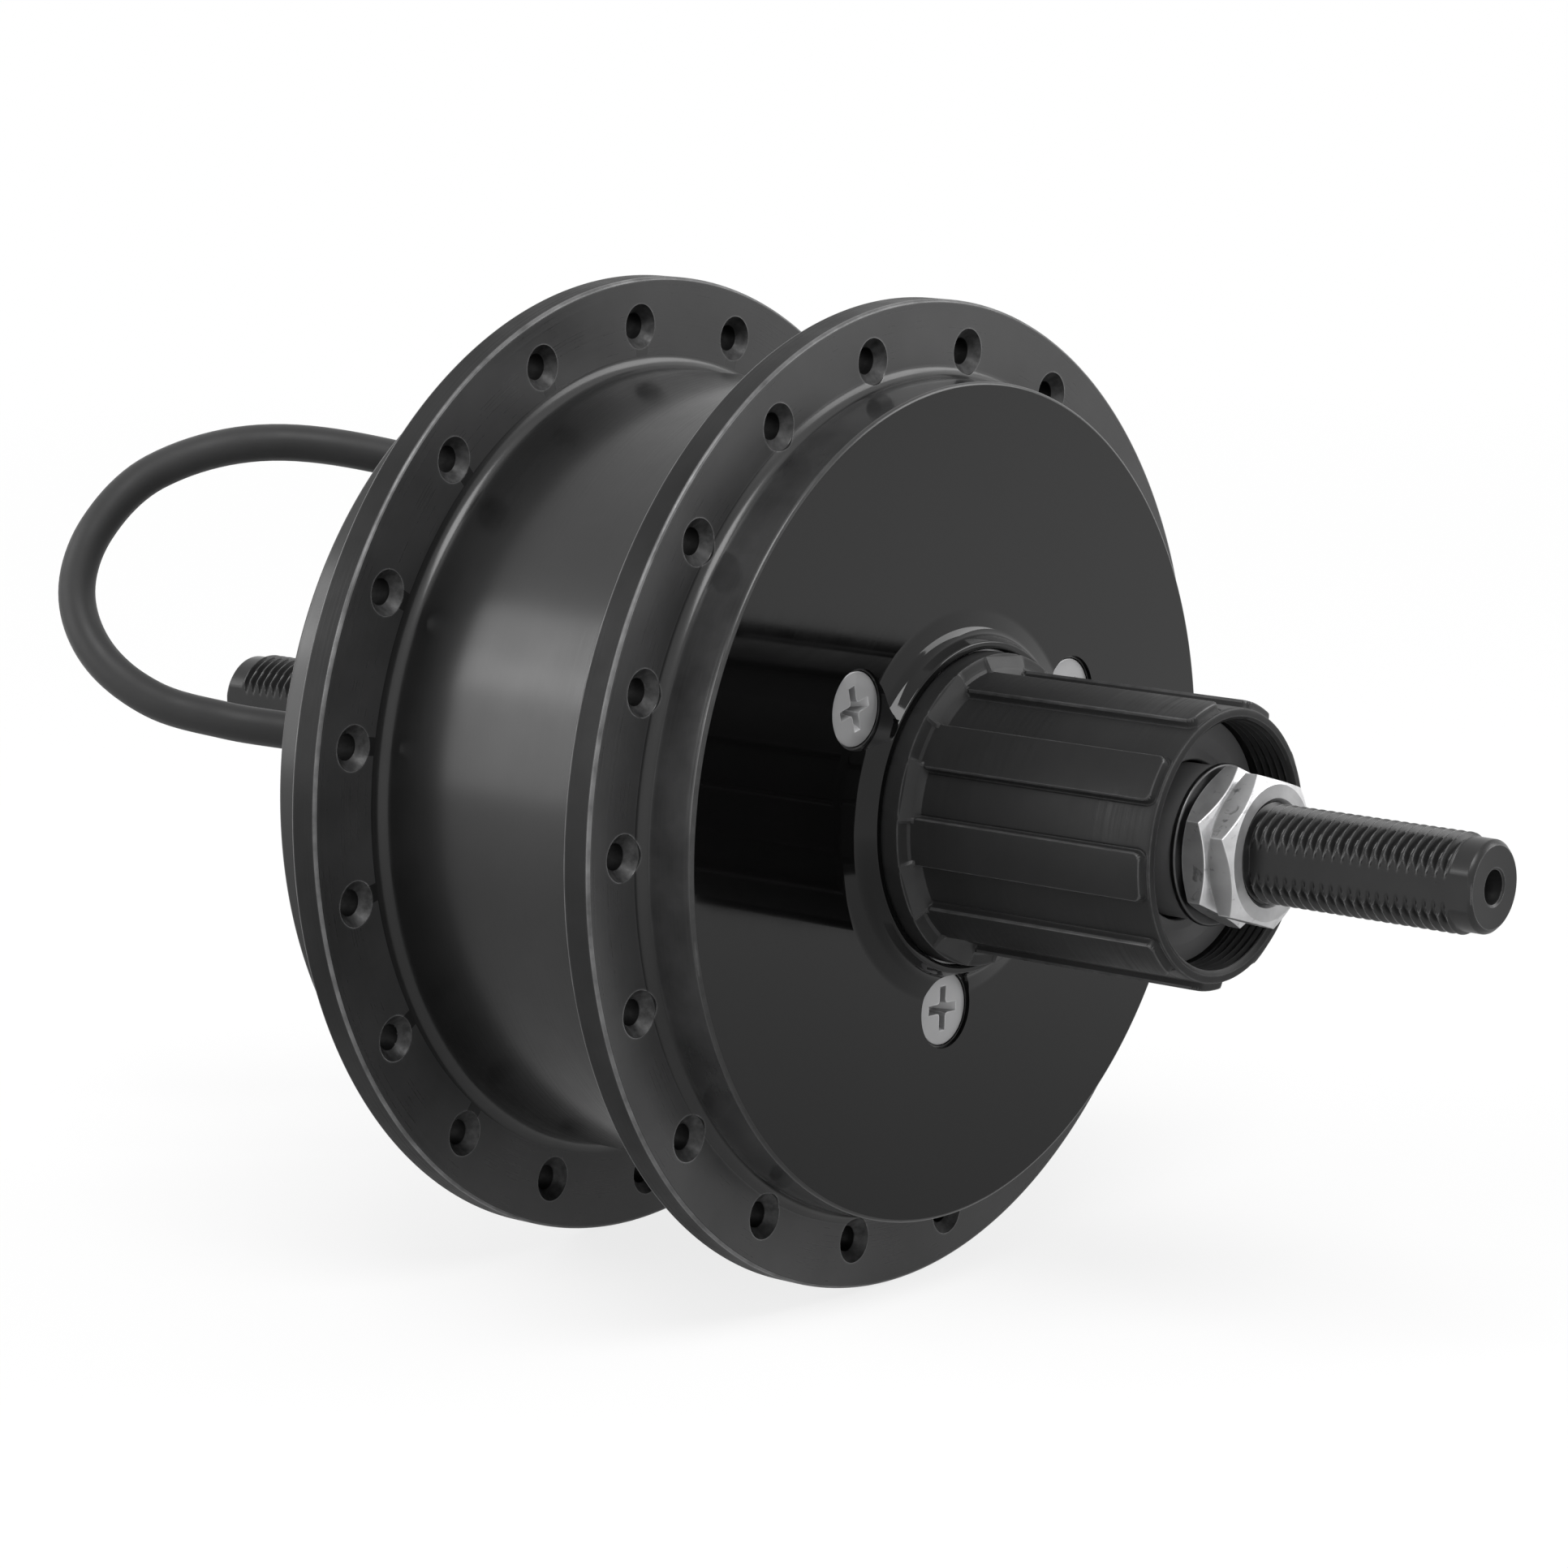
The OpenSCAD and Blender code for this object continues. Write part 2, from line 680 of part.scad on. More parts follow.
module cable_grommet() {
    in_r = cable_d / 2 + fit;
    tip_r = in_r + 0.6;
    seat = grommet_seat + fit;
    floor_l = grommet_tip - cable_socket;
    out_r = grommet_r - fit;
    color("black") at_outlet() turned([[0, seat], [out_r, seat], [out_r, grommet_mouth],
        [tip_r, grommet_tip], [in_r, grommet_tip], [in_r, floor_l], [0, floor_l]]);
}

function on_outlet(l) = [-l * sin(outlet_a), z_cross + l * cos(outlet_a), 0];

// The cable stands on the floor of the grommet's socket and runs straight out of it
cable_start = on_outlet(grommet_tip + 1);
route = [cable_start, [-18.2, 73, 0.7], [-23, 80, 2], [-27.5, 89, 4.5], [-29.5, 97, 10],
    [-28.5, 101.5, 17.5], [-24.5, 101.5, 25.5], [-17, 98, 32.5], [-6.5, 89, 36], [5, 77, 34],
    [15, 67.5, 29], [24, 60, 21], [31, 56, 11], [35, 54, 0], [36, 54, -10]];
route_steps = 2;
cable_sides = 12;
route_last = len(route) - 1;

function unit(v) = v / norm(v);

function tangent(i) = unit(i == 0 ? [-sin(outlet_a), cos(outlet_a), 0]
    : i == route_last ? [0, 0, -1] : route[i + 1] - route[i - 1]);

function hermite(i, t) =
    let (a = route[i], b = route[i + 1], reach = norm(b - a))
    let (m0 = tangent(i) * reach, m1 = tangent(i + 1) * reach)
    (2 * t * t * t - 3 * t * t + 1) * a + (t * t * t - 2 * t * t + t) * m0
    + (3 * t * t - 2 * t * t * t) * b + (t * t * t - t * t) * m1;

cable_path = concat([on_outlet(grommet_tip - cable_socket)],
    [for (i = [0:route_last - 1]) for (s = [0:route_steps - 1]) hermite(i, s / route_steps)],
    [route[route_last]]);
path_last = len(cable_path) - 1;

function heading(i) = unit(i <= 1 ? tangent(0) : i == path_last ? tangent(route_last)
    : cable_path[i + 1] - cable_path[i - 1]);

// Each ring is carried on from the ring before it, so that the tube doesn't twist
function carried(side, i) = unit(side - (side * heading(i)) * heading(i));

function sides_of(i) = i == 0 ? [[0, 0, 1]]
    : let (before = sides_of(i - 1)) concat(before, [carried(before[i - 1], i)]);

ring_sides = sides_of(path_last);

module swept_tube(r) {
    points = [for (i = [0:path_last]) let (u = ring_sides[i], v = cross(heading(i), u))
        for (k = [0:cable_sides - 1]) cable_path[i]
            + r * (cos(360 * k / cable_sides) * u + sin(360 * k / cable_sides) * v)];
    n = cable_sides;
    walls = [for (i = [0:path_last - 1]) for (k = [0:n - 1]) let (a = i * n + k, b = i * n + (k + 1) % n)
        each [[a, a + n, b], [b, a + n, b + n]]];
    caps = [[for (k = [0:n - 1]) k], [for (k = [n - 1:-1:0]) path_last * n + k]];
    polyhedron(points, concat(walls, caps));
}

module cable() { color("#2b2b2b") swept_tube(cable_d / 2); }

z_sleeve = plug_l * 0.6;
z_plug_face = plug_l - 9;

module at_plug() { translate(route[route_last]) rotate([180, 0, 0]) children(); }

module plug_body() {
    neck = cable_d / 2 + 1;
    grip = plug_d / 2 - 0.8;
    nose = grip - 0.9;
    rib = 0.5;
    rib_n = 5;
    color("#2b2b2b") at_plug() difference() {
        turned([[0, 0], [neck, 0], [grip, plug_l * 0.3], [grip, z_sleeve], [nose, z_sleeve],
            [nose, z_plug_face], [0, z_plug_face]]);
        for (k = [0:rib_n - 1]) translate([0, 0, plug_l * 0.34 + 2 * k]) tube(0, 1, grip - rib, grip + cut);
    }
}

module plug_sleeve() {
    out_r = plug_d / 2;
    in_r = out_r - 1.65;
    edge = 0.4;
    z0 = z_sleeve + 0.1;
    mark_r = 0.6;
    color("#3a3a3a") at_plug() difference() {
        turned([[in_r, z0], [out_r - edge, z0], [out_r, z0 + edge], [out_r, plug_l - edge],
            [out_r - edge, plug_l], [in_r, plug_l]]);
        translate([0, out_r, z0 + 1]) cylinder(h = plug_l * 0.3, r = mark_r, $fn = 24);
    }
}

module plug_pins() {
    pin = 0.5;
    long = 5.5;
    outer_n = 8;
    circle_r = 2.9;
    color("goldenrod") at_plug() translate([0, 0, z_plug_face]) {
        around(outer_n, circle_r, 0) cylinder(h = long, r = pin, $fn = 24);
        cylinder(h = long, r = pin, $fn = 24);
    }
}

// Pieces of the shell

// Each hole is countersunk on the face towards the drive side
module spoke_holes(z_face, a0) {
    r = spoke_d / 2;
    deep = spoke_csk_d / 2 - r;
    around(spoke_n, spoke_pcd / 2, a0) translate([0, 0, z_face]) rotate_extrude($fn = 48)
        polygon([[0, cut], [r + deep + cut, cut], [r, -deep], [r, -flange_t - cut], [0, -flange_t - cut]]);
}

module hub_shell() {
    edge = 0.5;
    small = 0.3;
    root = 2;
    drive_root = 1.6;
    barrel_root = 1.75;
    foot = 2.2;
    collar_root = 1;
    z_back = flange_z - flange_t;
    z_step = z_gear1 + gear_side / 2;
    step_r = shell_r - 1.8;
    outline = concat(
        [[boss_bore_r, z_boss], [boss_r - edge * 2, z_boss], [boss_r, z_boss - edge]],
        arc([boss_r + foot, z_disc + foot], foot, 180, 270),
        [[drive_r - edge * 1.5, z_disc], [drive_r, z_disc - edge]],
        arc([drive_r + drive_root, flange_z + drive_root], drive_root, 180, 270, 4),
        [[flange_r - edge, flange_z], [flange_r, flange_z - edge], [flange_r, z_back + small],
            [flange_r - small, z_back]],
        arc([barrel_r + barrel_root, z_back - barrel_root], barrel_root, 90, 180),
        arc([barrel_r + barrel_root, z_flange_in + barrel_root], barrel_root, 180, 270),
        [[flange_r - edge, z_flange_in], [flange_r, z_flange_in - edge], [flange_r, z_flange_out + small],
            [flange_r - small, z_flange_out]],
        arc([cover_r + collar_root, z_flange_out - collar_root], collar_root, 90, 180),
        [[cover_r, z_collar], [shell_r, z_collar], [shell_r, z_step], [step_r, z_step],
            [step_r, z_inside - root]],
        arc([step_r - root, z_inside - root], root, 0, 90),
        [[boss_bore_r, z_inside]]);
    color("#303030") lay() difference() {
        turned(outline);
        spoke_holes(flange_z, spoke_a_drive);
        spoke_holes(z_flange_in, spoke_a_cable);
        around(drive_screw_n, drive_screw_pcd / 2, drive_screw_a) {
            csk_hole(z_drive_head, drive_screw_d, drive_head_d, disc_t + cut);
            translate([0, 0, z_drive_head]) cylinder(h = boss_h + cut, r = drive_head_r + 0.3, $fn = 64);
        }
        around(cover_screw_n, cover_screw_pcd / 2, 0)
            translate([0, 0, z_cover])
                cylinder(h = cover_screw_l + free, r = cover_screw_d / 2 + fit, $fn = 32);
    }
}

// Cover of the cable side, with the boss for a brake rotor
module cable_cover() {
    edge = 0.5;
    foot = 2.5;
    groove_w = 1.6;
    flat_r = cover_r - 6;
    rise = 2.6;
    tapped_l = 8;
    lip_r = shoulder_r + 3.5;
    bore_r = cable_bearing[1];
    rotor_boss_r = rotor_boss_d / 2;
    spigot_r = spigot_d / 2;
    register_r = shell_r - 1.9;
    outline = concat(
        [[cover_r, z_collar], [cover_r, z_cover + edge], [cover_r - edge, z_cover], [flat_r, z_cover]],
        arc([rotor_boss_r + foot, z_cover - rise - foot], foot, 90, 180),
        [[rotor_boss_r, z_rotor_face + edge], [rotor_boss_r - edge, z_rotor_face],
            [spigot_r, z_rotor_face], [spigot_r, z_spigot + edge], [spigot_r - edge, z_spigot],
            [seal_r, z_spigot], [seal_r, z_seal_seat], [lip_r, z_seal_seat],
            [lip_r, z_cb0], [bore_r, z_cb0], [bore_r, z_cover_in], [register_r, z_cover_in],
            [register_r, z_register], [shell_r - run, z_register], [shell_r - run, z_collar]]);
    color("#303030") lay() difference() {
        turned(outline);
        around(6, rotor_pcd / 2, 0) translate([0, 0, z_rotor_face - cut])
            cylinder(h = tapped_l + cut, d = rotor_hole_d, $fn = 48);
        around(cover_screw_n, cover_screw_pcd / 2, 0) rotate([180, 0, 0])
            csk_hole(-z_cover, cover_screw_d, cover_head_d, cover_t + cut);
        tube(z_oring - groove_w / 2, z_oring + groove_w / 2, shell_r - 1.4, shell_r + cut);
    }
}

module cover_screws() {
    color("gray") lay() around(cover_screw_n, cover_screw_pcd / 2, 0) rotate([180, 0, 0])
        csk_screw(-z_cover, cover_screw_d, cover_head_d, cover_screw_l);
}

module cover_oring() {
    cord = 1.3;
    color("black") lay() translate([0, 0, z_oring]) rotate_extrude($fn = fine_fn)
        translate([shell_r - cord / 2 - fit, 0]) circle(d = cord - fit, $fn = 32);
}

module ring_gear() {
    color("silver") lay() translate([0, 0, z_gear0]) linear_extrude(gear_w + gear_side / 2) difference() {
        circle(r = shell_r - fit, $fn = fine_fn);
        rotate(ring_turn + 180 / ring_z)
            polygon(gear_outline(ring_z, ring_r - addendum, ring_r + dedendum, backlash / 2));
    }
}

// Cup that holds the shell's bearing, the ratchet teeth and the threads of the drive screws
module ratchet_cup() {
    flange_w = 3.2;
    flange_out = drive_screw_pcd / 2 + 4.7;
    sleeve_r = boss_bore_r - fit;
    seat_r = shell_bearing[1];
    lip_r = seat_r - 2;
    z_top = z_ring0 - 0.4;
    z_under = z_inside - flange_w;
    step = 360 / ratchet_n;
    teeth = [for (k = [0:ratchet_n - 1]) let (a = k * step) each [polar(ratchet_tip_r, a),
        polar(ratchet_root_r, a + 0.12 * step), polar(ratchet_tip_r, a + 0.92 * step)]];
    color("slategray") lay() difference() {
        turned([[seat_r, z_sb0], [seat_r + 4, z_sb0], [sleeve_r, z_under], [flange_out, z_under],
            [flange_out, z_inside], [sleeve_r, z_inside], [sleeve_r, z_top], [lip_r, z_top],
            [lip_r, z_sb1], [seat_r, z_sb1]]);
        translate([0, 0, z_lip]) linear_extrude(z_top - z_lip + cut) polygon(teeth);
        around(drive_screw_n, drive_screw_pcd / 2, drive_screw_a) translate([0, 0, z_under - cut])
            cylinder(h = flange_w + 2 * cut, r = drive_screw_d / 2 + fit, $fn = 48);
    }
}

module drive_screws() {
    color("silver") lay() around(drive_screw_n, drive_screw_pcd / 2, drive_screw_a)
        csk_screw(z_drive_head, drive_screw_d, drive_head_d, drive_screw_l);
}

module shell_bearing_drive() { color("gray") lay() outer_race(z_sb0, shell_bearing); }

module shell_bearing_cable() { color("gray") lay() outer_race(z_cb0, cable_bearing); }

module cable_seal() {
    high = 3.2;
    lip = 1.2;
    z0 = z_seal_seat - high;
    out_r = seal_r - fit;
    in_r = shoulder_r + run;
    color("black") lay() turned([[in_r, z0], [out_r, z0], [out_r, z_seal_seat - fit],
        [in_r + lip, z_seal_seat - fit], [in_r + lip, z0 + lip + 0.4], [in_r, z0 + lip - 0.2]]);
}

// Rotor

module rotor_bell() {
    seat_r = rotor_bearing[1];
    hub_r = seat_r + 3;
    hub_end = z_rb0 + free;
    rim_end = z_magnet0 - 1.5;
    in_r = bell_r - bell_t;
    edge = 1;
    window_n = 8;
    window_d = 11;
    color("slategray") lay() difference() {
        turned([[sun_shank_r, z_plate1], [bell_r - edge, z_plate1], [bell_r, z_plate1 - edge],
            [bell_r, rim_end], [in_r, rim_end], [in_r, z_plate0], [hub_r, z_plate0], [hub_r, hub_end],
            [seat_r, hub_end], [seat_r, z_plate0], [sun_shank_r, z_plate0]]);
        around(window_n, (bell_r + seat_r) / 2, 0) translate([0, 0, z_plate0 - cut])
            cylinder(h = plate_t + 2 * cut, d = window_d, $fn = 48);
    }
}

module magnets() {
    out_r = bell_r - bell_t - fit;
    gap_a = 1.6;
    color("gainsboro") lay() for (k = [0:magnet_n - 1]) rotate(360 * k / magnet_n)
        translate([0, 0, z_magnet0]) rotate_extrude(angle = 360 / magnet_n - gap_a, $fn = fine_fn)
            translate([out_r - magnet_t, 0]) square([magnet_t, z_magnet1 - z_magnet0]);
}

module sun_gear() {
    color("silver") lay() difference() {
        union() {
            translate([0, 0, z_gear0 - plate_side]) linear_extrude(gear_w + plate_side) rotate(planet_a)
                polygon(gear_outline(sun_z, sun_r - dedendum, sun_r + addendum, -backlash / 2));
            translate([0, 0, z_plate0 + free]) cylinder(h = plate_t - free, r = sun_shank_r - fit);
        }
        translate([0, 0, z_plate0 - cut]) cylinder(h = z_gear1 - z_plate0 + 2 * cut, r = sun_seat_r + free);
    }
}

module rotor_bearings() {
    color("gray") lay() {
        outer_race(z_rb0 + fit, rotor_bearing);
        outer_race(z_rb1, rotor_bearing);
    }
}

// Planets

module at_planet(k) {
    rotate(planet_angle(k)) translate([centre_r, 0, 0]) rotate(planet_turn(k) - planet_angle(k)) children();
}

module planet(k) {
    recess = 1.5;
    rim_r = planet_r - dedendum - 2.2;
    hub_r = pin_r + bush_t + 2;
    color("ivory") lay() at_planet(k) difference() {
        translate([0, 0, z_planet0]) linear_extrude(z_planet1 - z_planet0)
            polygon(gear_outline(planet_z, planet_r - dedendum, planet_r + addendum, -backlash / 2));
        translate([0, 0, z_planet0 - cut]) cylinder(h = gear_w + 2 * cut, r = pin_r + bush_t);
        tube(z_planet1 - recess, z_planet1 + cut, hub_r, rim_r);
        tube(z_planet0 - cut, z_planet0 + recess, hub_r, rim_r);
    }
}

module planet_bush(k) {
    color("goldenrod") lay() at_planet(k) tube(z_planet0, z_planet1, pin_r + run, pin_r + bush_t - fit);
}

module planet_1() { planet(0); }
module planet_2() { planet(1); }
module planet_3() { planet(2); }
module planet_bush_1() { planet_bush(0); }
module planet_bush_2() { planet_bush(1); }
module planet_bush_3() { planet_bush(2); }

// Freehub

module ridge(k) {
    half = ridge_w / 2;
    reach = 2 * spline_r;
    rotate(ridge_a + 360 * k / ridge_n) polygon([[0, 0], polar(reach, -half), polar(reach, half)]);
}

module freehub_body() {
    edge = 0.4;
    bore_r = hub_bearing[1];
    base_bore_r = bore_r - 2.5;
    seal_seat_r = bore_r + 1.5;
    ring_r1 = ring_d / 2;
    z_ridge = z_mouth - end_ring;
    z_seat = z_hb1 + hub_bearing[2];
    color("#353535") lay() difference() {
        union() {
            turned([[base_bore_r, z_base0], [pawl_carrier_r, z_base0], [pawl_carrier_r, z_ring0],
                [ring_r1, z_ring0], [ring_r1, z_ring1 - edge], [ring_r1 - edge, z_ring1],
                [groove_r, z_ring1], [groove_r, z_mouth - edge], [groove_r - edge, z_mouth],
                [mouth_r + edge, z_mouth], [mouth_r, z_mouth - edge], [mouth_r, z_mouth_floor],
                [seal_seat_r, z_mouth_floor], [seal_seat_r, z_seat], [bore_r, z_seat], [bore_r, z_hb0],
                [base_bore_r, z_hb0]]);
            translate([0, 0, z_ring1 - edge]) linear_extrude(z_ridge - z_ring1 + edge) intersection() {
                difference() {
                    circle(r = spline_r, $fn = fine_fn);
                    circle(r = groove_r - 0.3, $fn = fine_fn);
                }
                union() for (k = [0:ridge_n - 1]) ridge(k);
            }
        }
        for (k = [0:pawl_n - 1]) rotate(360 * k / pawl_n) pawl_pocket();
        translate([0, 0, z_pawl + pawl_w / 2 - 0.5]) tube(0, 1, pawl_carrier_r - 1, pawl_carrier_r + cut);
    }
}

module pawl_pocket() {
    translate([0, 0, z_pawl - 0.1]) linear_extrude(pawl_w + 0.2) pawl_outline(0.15, 0.6);
}

// A pawl lies pushed in, under the ratchet teeth, as it does while it freewheels
module pawl_outline(grow, lift) {
    in_r = pawl_carrier_r - 2.4 - grow;
    out_r = pawl_carrier_r - 0.05 + lift;
    side_a = grow * 4;
    tip_r = out_r - 1.1 - grow - lift;
    polygon(concat(arc([0, 0], out_r, -side_a, pawl_a + side_a),
        [polar(tip_r, pawl_a + side_a), polar(in_r, pawl_a * 0.35), polar(in_r, -side_a)]));
}

module pawls() {
    color("silver") lay() for (k = [0:pawl_n - 1]) rotate(360 * k / pawl_n) difference() {
        translate([0, 0, z_pawl]) linear_extrude(pawl_w) pawl_outline(0, 0);
        translate([0, 0, z_pawl + pawl_w / 2 - 0.5]) tube(0, 1, pawl_carrier_r - 1, pawl_carrier_r + cut);
    }
}

module pawl_spring() {
    wire = 0.6;
    color("gainsboro") lay() translate([0, 0, z_pawl + pawl_w / 2]) rotate(40)
        rotate_extrude(angle = 340, $fn = fine_fn)
            translate([pawl_carrier_r - wire, 0]) circle(d = wire, $fn = 24);
}

module freehub_bearings() {
    color("gray") lay() {
        outer_race(z_hb0 + fit, hub_bearing);
        outer_race(z_hb1, hub_bearing);
    }
}

module freehub_spacer() {
    out_r = hub_bearing[1] - fit;
    color("silver") lay() tube(z_hb0 + hub_bearing[2] + fit, z_hb1, out_r - 1.4, out_r);
}

module freehub_seal() {
    out_r = mouth_r - 0.2;
    edge = 0.4;
    z_top = z_mouth_floor + 0.9;
    color("#404040") lay() turned([[seal_in_r, z_mouth_floor], [out_r, z_mouth_floor],
        [out_r, z_top], [seal_in_r + 1, z_top], [seal_in_r, z_top - edge]]);
}

axle();
stator_core();
windings();
stator_carrier();
stator_key();
hall_board();
clutch_cam();
clutch_rollers();
planet_carrier();
planet_pins();
pin_clips();
axle_sleeves();
inner_races();
outer_spacer();
washer();
inner_nut();
outer_nut();
cable_grommet();
cable();
plug_body();
plug_sleeve();
plug_pins();
hub_shell();
cable_cover();
cover_screws();
cover_oring();
ring_gear();
ratchet_cup();
drive_screws();
shell_bearing_drive();
shell_bearing_cable();
cable_seal();
rotor_bell();
magnets();
sun_gear();
rotor_bearings();
planet_1();
planet_2();
planet_3();
planet_bush_1();
planet_bush_2();
planet_bush_3();
freehub_body();
pawls();
pawl_spring();
freehub_bearings();
freehub_spacer();
freehub_seal();
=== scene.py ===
"""Geared rear hub motor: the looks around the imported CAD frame."""

import math

import bmesh
import bpy
from mathutils import Matrix, Vector


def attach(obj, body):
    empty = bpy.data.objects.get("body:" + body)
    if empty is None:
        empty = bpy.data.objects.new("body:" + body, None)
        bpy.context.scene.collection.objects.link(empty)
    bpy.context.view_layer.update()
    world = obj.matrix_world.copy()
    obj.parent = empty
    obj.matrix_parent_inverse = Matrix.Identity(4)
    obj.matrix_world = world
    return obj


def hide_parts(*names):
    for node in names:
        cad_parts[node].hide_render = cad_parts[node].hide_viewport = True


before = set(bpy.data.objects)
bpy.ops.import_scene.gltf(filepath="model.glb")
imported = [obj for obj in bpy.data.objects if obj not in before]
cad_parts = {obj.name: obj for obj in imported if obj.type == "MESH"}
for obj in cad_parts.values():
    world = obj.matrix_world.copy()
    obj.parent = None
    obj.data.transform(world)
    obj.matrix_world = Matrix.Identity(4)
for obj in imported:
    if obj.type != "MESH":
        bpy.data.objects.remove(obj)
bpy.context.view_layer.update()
scene = bpy.context.scene
scene.view_settings.view_transform = "Standard"

MM = 0.001
UM = 0.000001
# How far a cutting tool reaches past the face that it opens
CUT = 1.0

# Stations along the axle in millimetres, from the middle of the axle to the drive side
Z_DROP = 67.5
Z_END = 97.5
Z_DISC = 21.96
Z_BOSS = 24.76
Z_DRIVE_FLANGE = 14.5
Z_CABLE_FLANGE = -28.2
FLANGE_T = 3.9
Z_COLLAR = -36.9
Z_COVER = -41.9
Z_ROTOR_FACE = -52.2
Z_MOUTH = 61.3
Z_CROSS = 43.997

# Radii of the turned shell in millimetres
BARREL_R = 49.7
DISC_R = 51.78
COVER_R = 53.2
FLANGE_R = 61.25

# Angle of the cable outlet to the axle, and sides of a large round
OUTLET_A = 32
SEGS = 288


def polar(r, a):
    return r * math.cos(math.radians(a)), r * math.sin(math.radians(a))


# ---------------------------------------------------------------- camera

CAMERA_AT = Vector((-0.51115, -0.39789, 0.12999))
CAMERA_TO = Vector((-0.02519, -0.0145, 0.00565))
LENS = 121.52
SENSOR = 36.0
IMAGE = 1932

camera_data = bpy.data.cameras.new("camera")
camera_data.lens = LENS
camera_data.sensor_width = SENSOR
camera_data.clip_start = 0.01
camera_data.clip_end = 60
camera = bpy.data.objects.new("camera", camera_data)
scene.collection.objects.link(camera)
camera.location = CAMERA_AT
camera.rotation_euler = (CAMERA_TO - CAMERA_AT).to_track_quat("-Z", "Y").to_euler()
scene.camera = camera


# ---------------------------------------------------------------- mesh helpers

LAY = Matrix.Rotation(math.radians(90), 4, "X")
OUTLET = LAY @ Matrix.Translation((0, 0, -Z_CROSS)) @ Matrix.Rotation(math.radians(180 + OUTLET_A), 4, "Y")


def new_object(name, verts, faces):
    """An object from points in millimetres."""
    mesh = bpy.data.meshes.new(name)
    mesh.from_pydata([Vector(v) * MM for v in verts], [], faces)
    bm = bmesh.new()
    bm.from_mesh(mesh)
    bmesh.ops.recalc_face_normals(bm, faces=bm.faces)
    bm.to_mesh(mesh)
    bm.free()
    obj = bpy.data.objects.new(name, mesh)
    scene.collection.objects.link(obj)
    return obj


def millimetres(matrix):
    """The same matrix for points in metres."""
    moved = matrix.copy()
    moved.translation = matrix.translation * MM
    return moved


def place(obj, matrix):
    obj.data.transform(millimetres(matrix))
    return obj


def rounded(corners, step=12):
    """A closed outline of [radius, z, corner radius], with its corners turned into arcs."""
    out = []
    last = len(corners)
    for i, (r, z, f) in enumerate(corners):
        p = Vector((r, z))
        if not f:
            out.append(tuple(p))
            continue
        u = (Vector(corners[i - 1][:2]) - p).normalized()
        v = (Vector(corners[(i + 1) % last][:2]) - p).normalized()
        half = u.angle(v) / 2
        centre = p + (u + v).normalized() * (f / math.sin(half))
        a = p + u * (f / math.tan(half)) - centre
        b = p + v * (f / math.tan(half)) - centre
        sweep = a.angle(b)
        n = max(2, round(math.degrees(sweep) / step))
        for k in range(n + 1):
            t = sweep * k / n
            out.append(tuple(centre + (a * math.sin(sweep - t) + b * math.sin(t)) / math.sin(sweep)))
    return out


def swept(name, rows, columns, closed):
    """A turned surface: each row is one (radius, z), or a list of them with one for each column's angle."""
    verts, faces, index = [], [], []
    for row in rows:
        ring = row if isinstance(row, list) else [(row[0], row[1])] * len(columns)
        if max(r for r, z in ring) < 1e-6:
            index.append([len(verts)] * len(columns))
            verts.append((0, 0, ring[0][1]))
            continue
        index.append(range(len(verts), len(verts) + len(columns)))
        verts += [(*polar(r, a), z) for (r, z), a in zip(ring, columns)]
    count = len(columns)
    for i in range(len(rows) if closed else len(rows) - 1):
        low, high = index[i], index[(i + 1) % len(rows)]
        for k in range(count):
            face = [low[k], low[(k + 1) % count], high[(k + 1) % count], high[k]]
            face = [v for j, v in enumerate(face) if v != face[j - 1]]
            if len(face) > 2:
                faces.append(face)
    return new_object(name, verts, faces)


def turned(name, outline, closed=True, segs=SEGS, matrix=LAY):
    return place(swept(name, outline, [360 * k / segs for k in range(segs)], closed), matrix)


def prism(name, outline, z0, z1, matrix=LAY, top=None):
    """A straight or tapered prism between two outlines of as many points."""
    top = top or outline
    n = len(outline)
    verts = [(x, y, z0) for x, y in outline] + [(x, y, z1) for x, y in top]
    faces = [list(range(n - 1, -1, -1)), list(range(n, 2 * n))]
    faces += [[k, (k + 1) % n, n + (k + 1) % n, n + k] for k in range(n)]
    return place(new_object(name, verts, faces), matrix)


def joined(name, objects):
    """One object from several, which are removed."""
    bm = bmesh.new()
    for o in objects:
        bm.from_mesh(o.data)
        bpy.data.objects.remove(o)
    mesh = bpy.data.meshes.new(name)
    bm.to_mesh(mesh)
    bm.free()
    obj = bpy.data.objects.new(name, mesh)
    scene.collection.objects.link(obj)
    return obj


def copies(source, matrices):
    """Copies of one object at several places, and the source is removed."""
    out = []
    for m in matrices:
        twin = bpy.data.objects.new(source.name, source.data.copy())
        scene.collection.objects.link(twin)
        out.append(place(twin, m))
    bpy.data.objects.remove(source)
    return out


def carve(obj, cutters, solver="MANIFOLD"):
    """Cuts the cutters out of the object and removes them."""
    tool = joined("tool", cutters)
    mod = obj.modifiers.new("carve", "BOOLEAN")
    mod.operation = "DIFFERENCE"
    mod.solver = solver
    mod.object = tool
    result = bpy.data.meshes.new_from_object(obj.evaluated_get(bpy.context.evaluated_depsgraph_get()))
    obj.modifiers.clear()
    obj.data = result
    bpy.data.objects.remove(tool)
    return obj


def shade(obj, angle=30):
    """Smooth shading with crisp edges, and flat faces that stay flat."""
    obj.data.shade_smooth()
    obj.data.set_sharp_from_angle(angle=math.radians(angle))
    mod = obj.modifiers.new("normals", "WEIGHTED_NORMAL")
    mod.keep_sharp = True
    mod.weight = 80
    return obj


def around(count, radius, first, turn=0.0):
    """Places on a circle about the axle."""
    for k in range(count):
        spin = Matrix.Rotation(math.radians(first + 360 * k / count), 4, "Z")
        yield spin @ Matrix.Translation((radius, 0, 0)) @ Matrix.Rotation(math.radians(turn), 4, "Z")


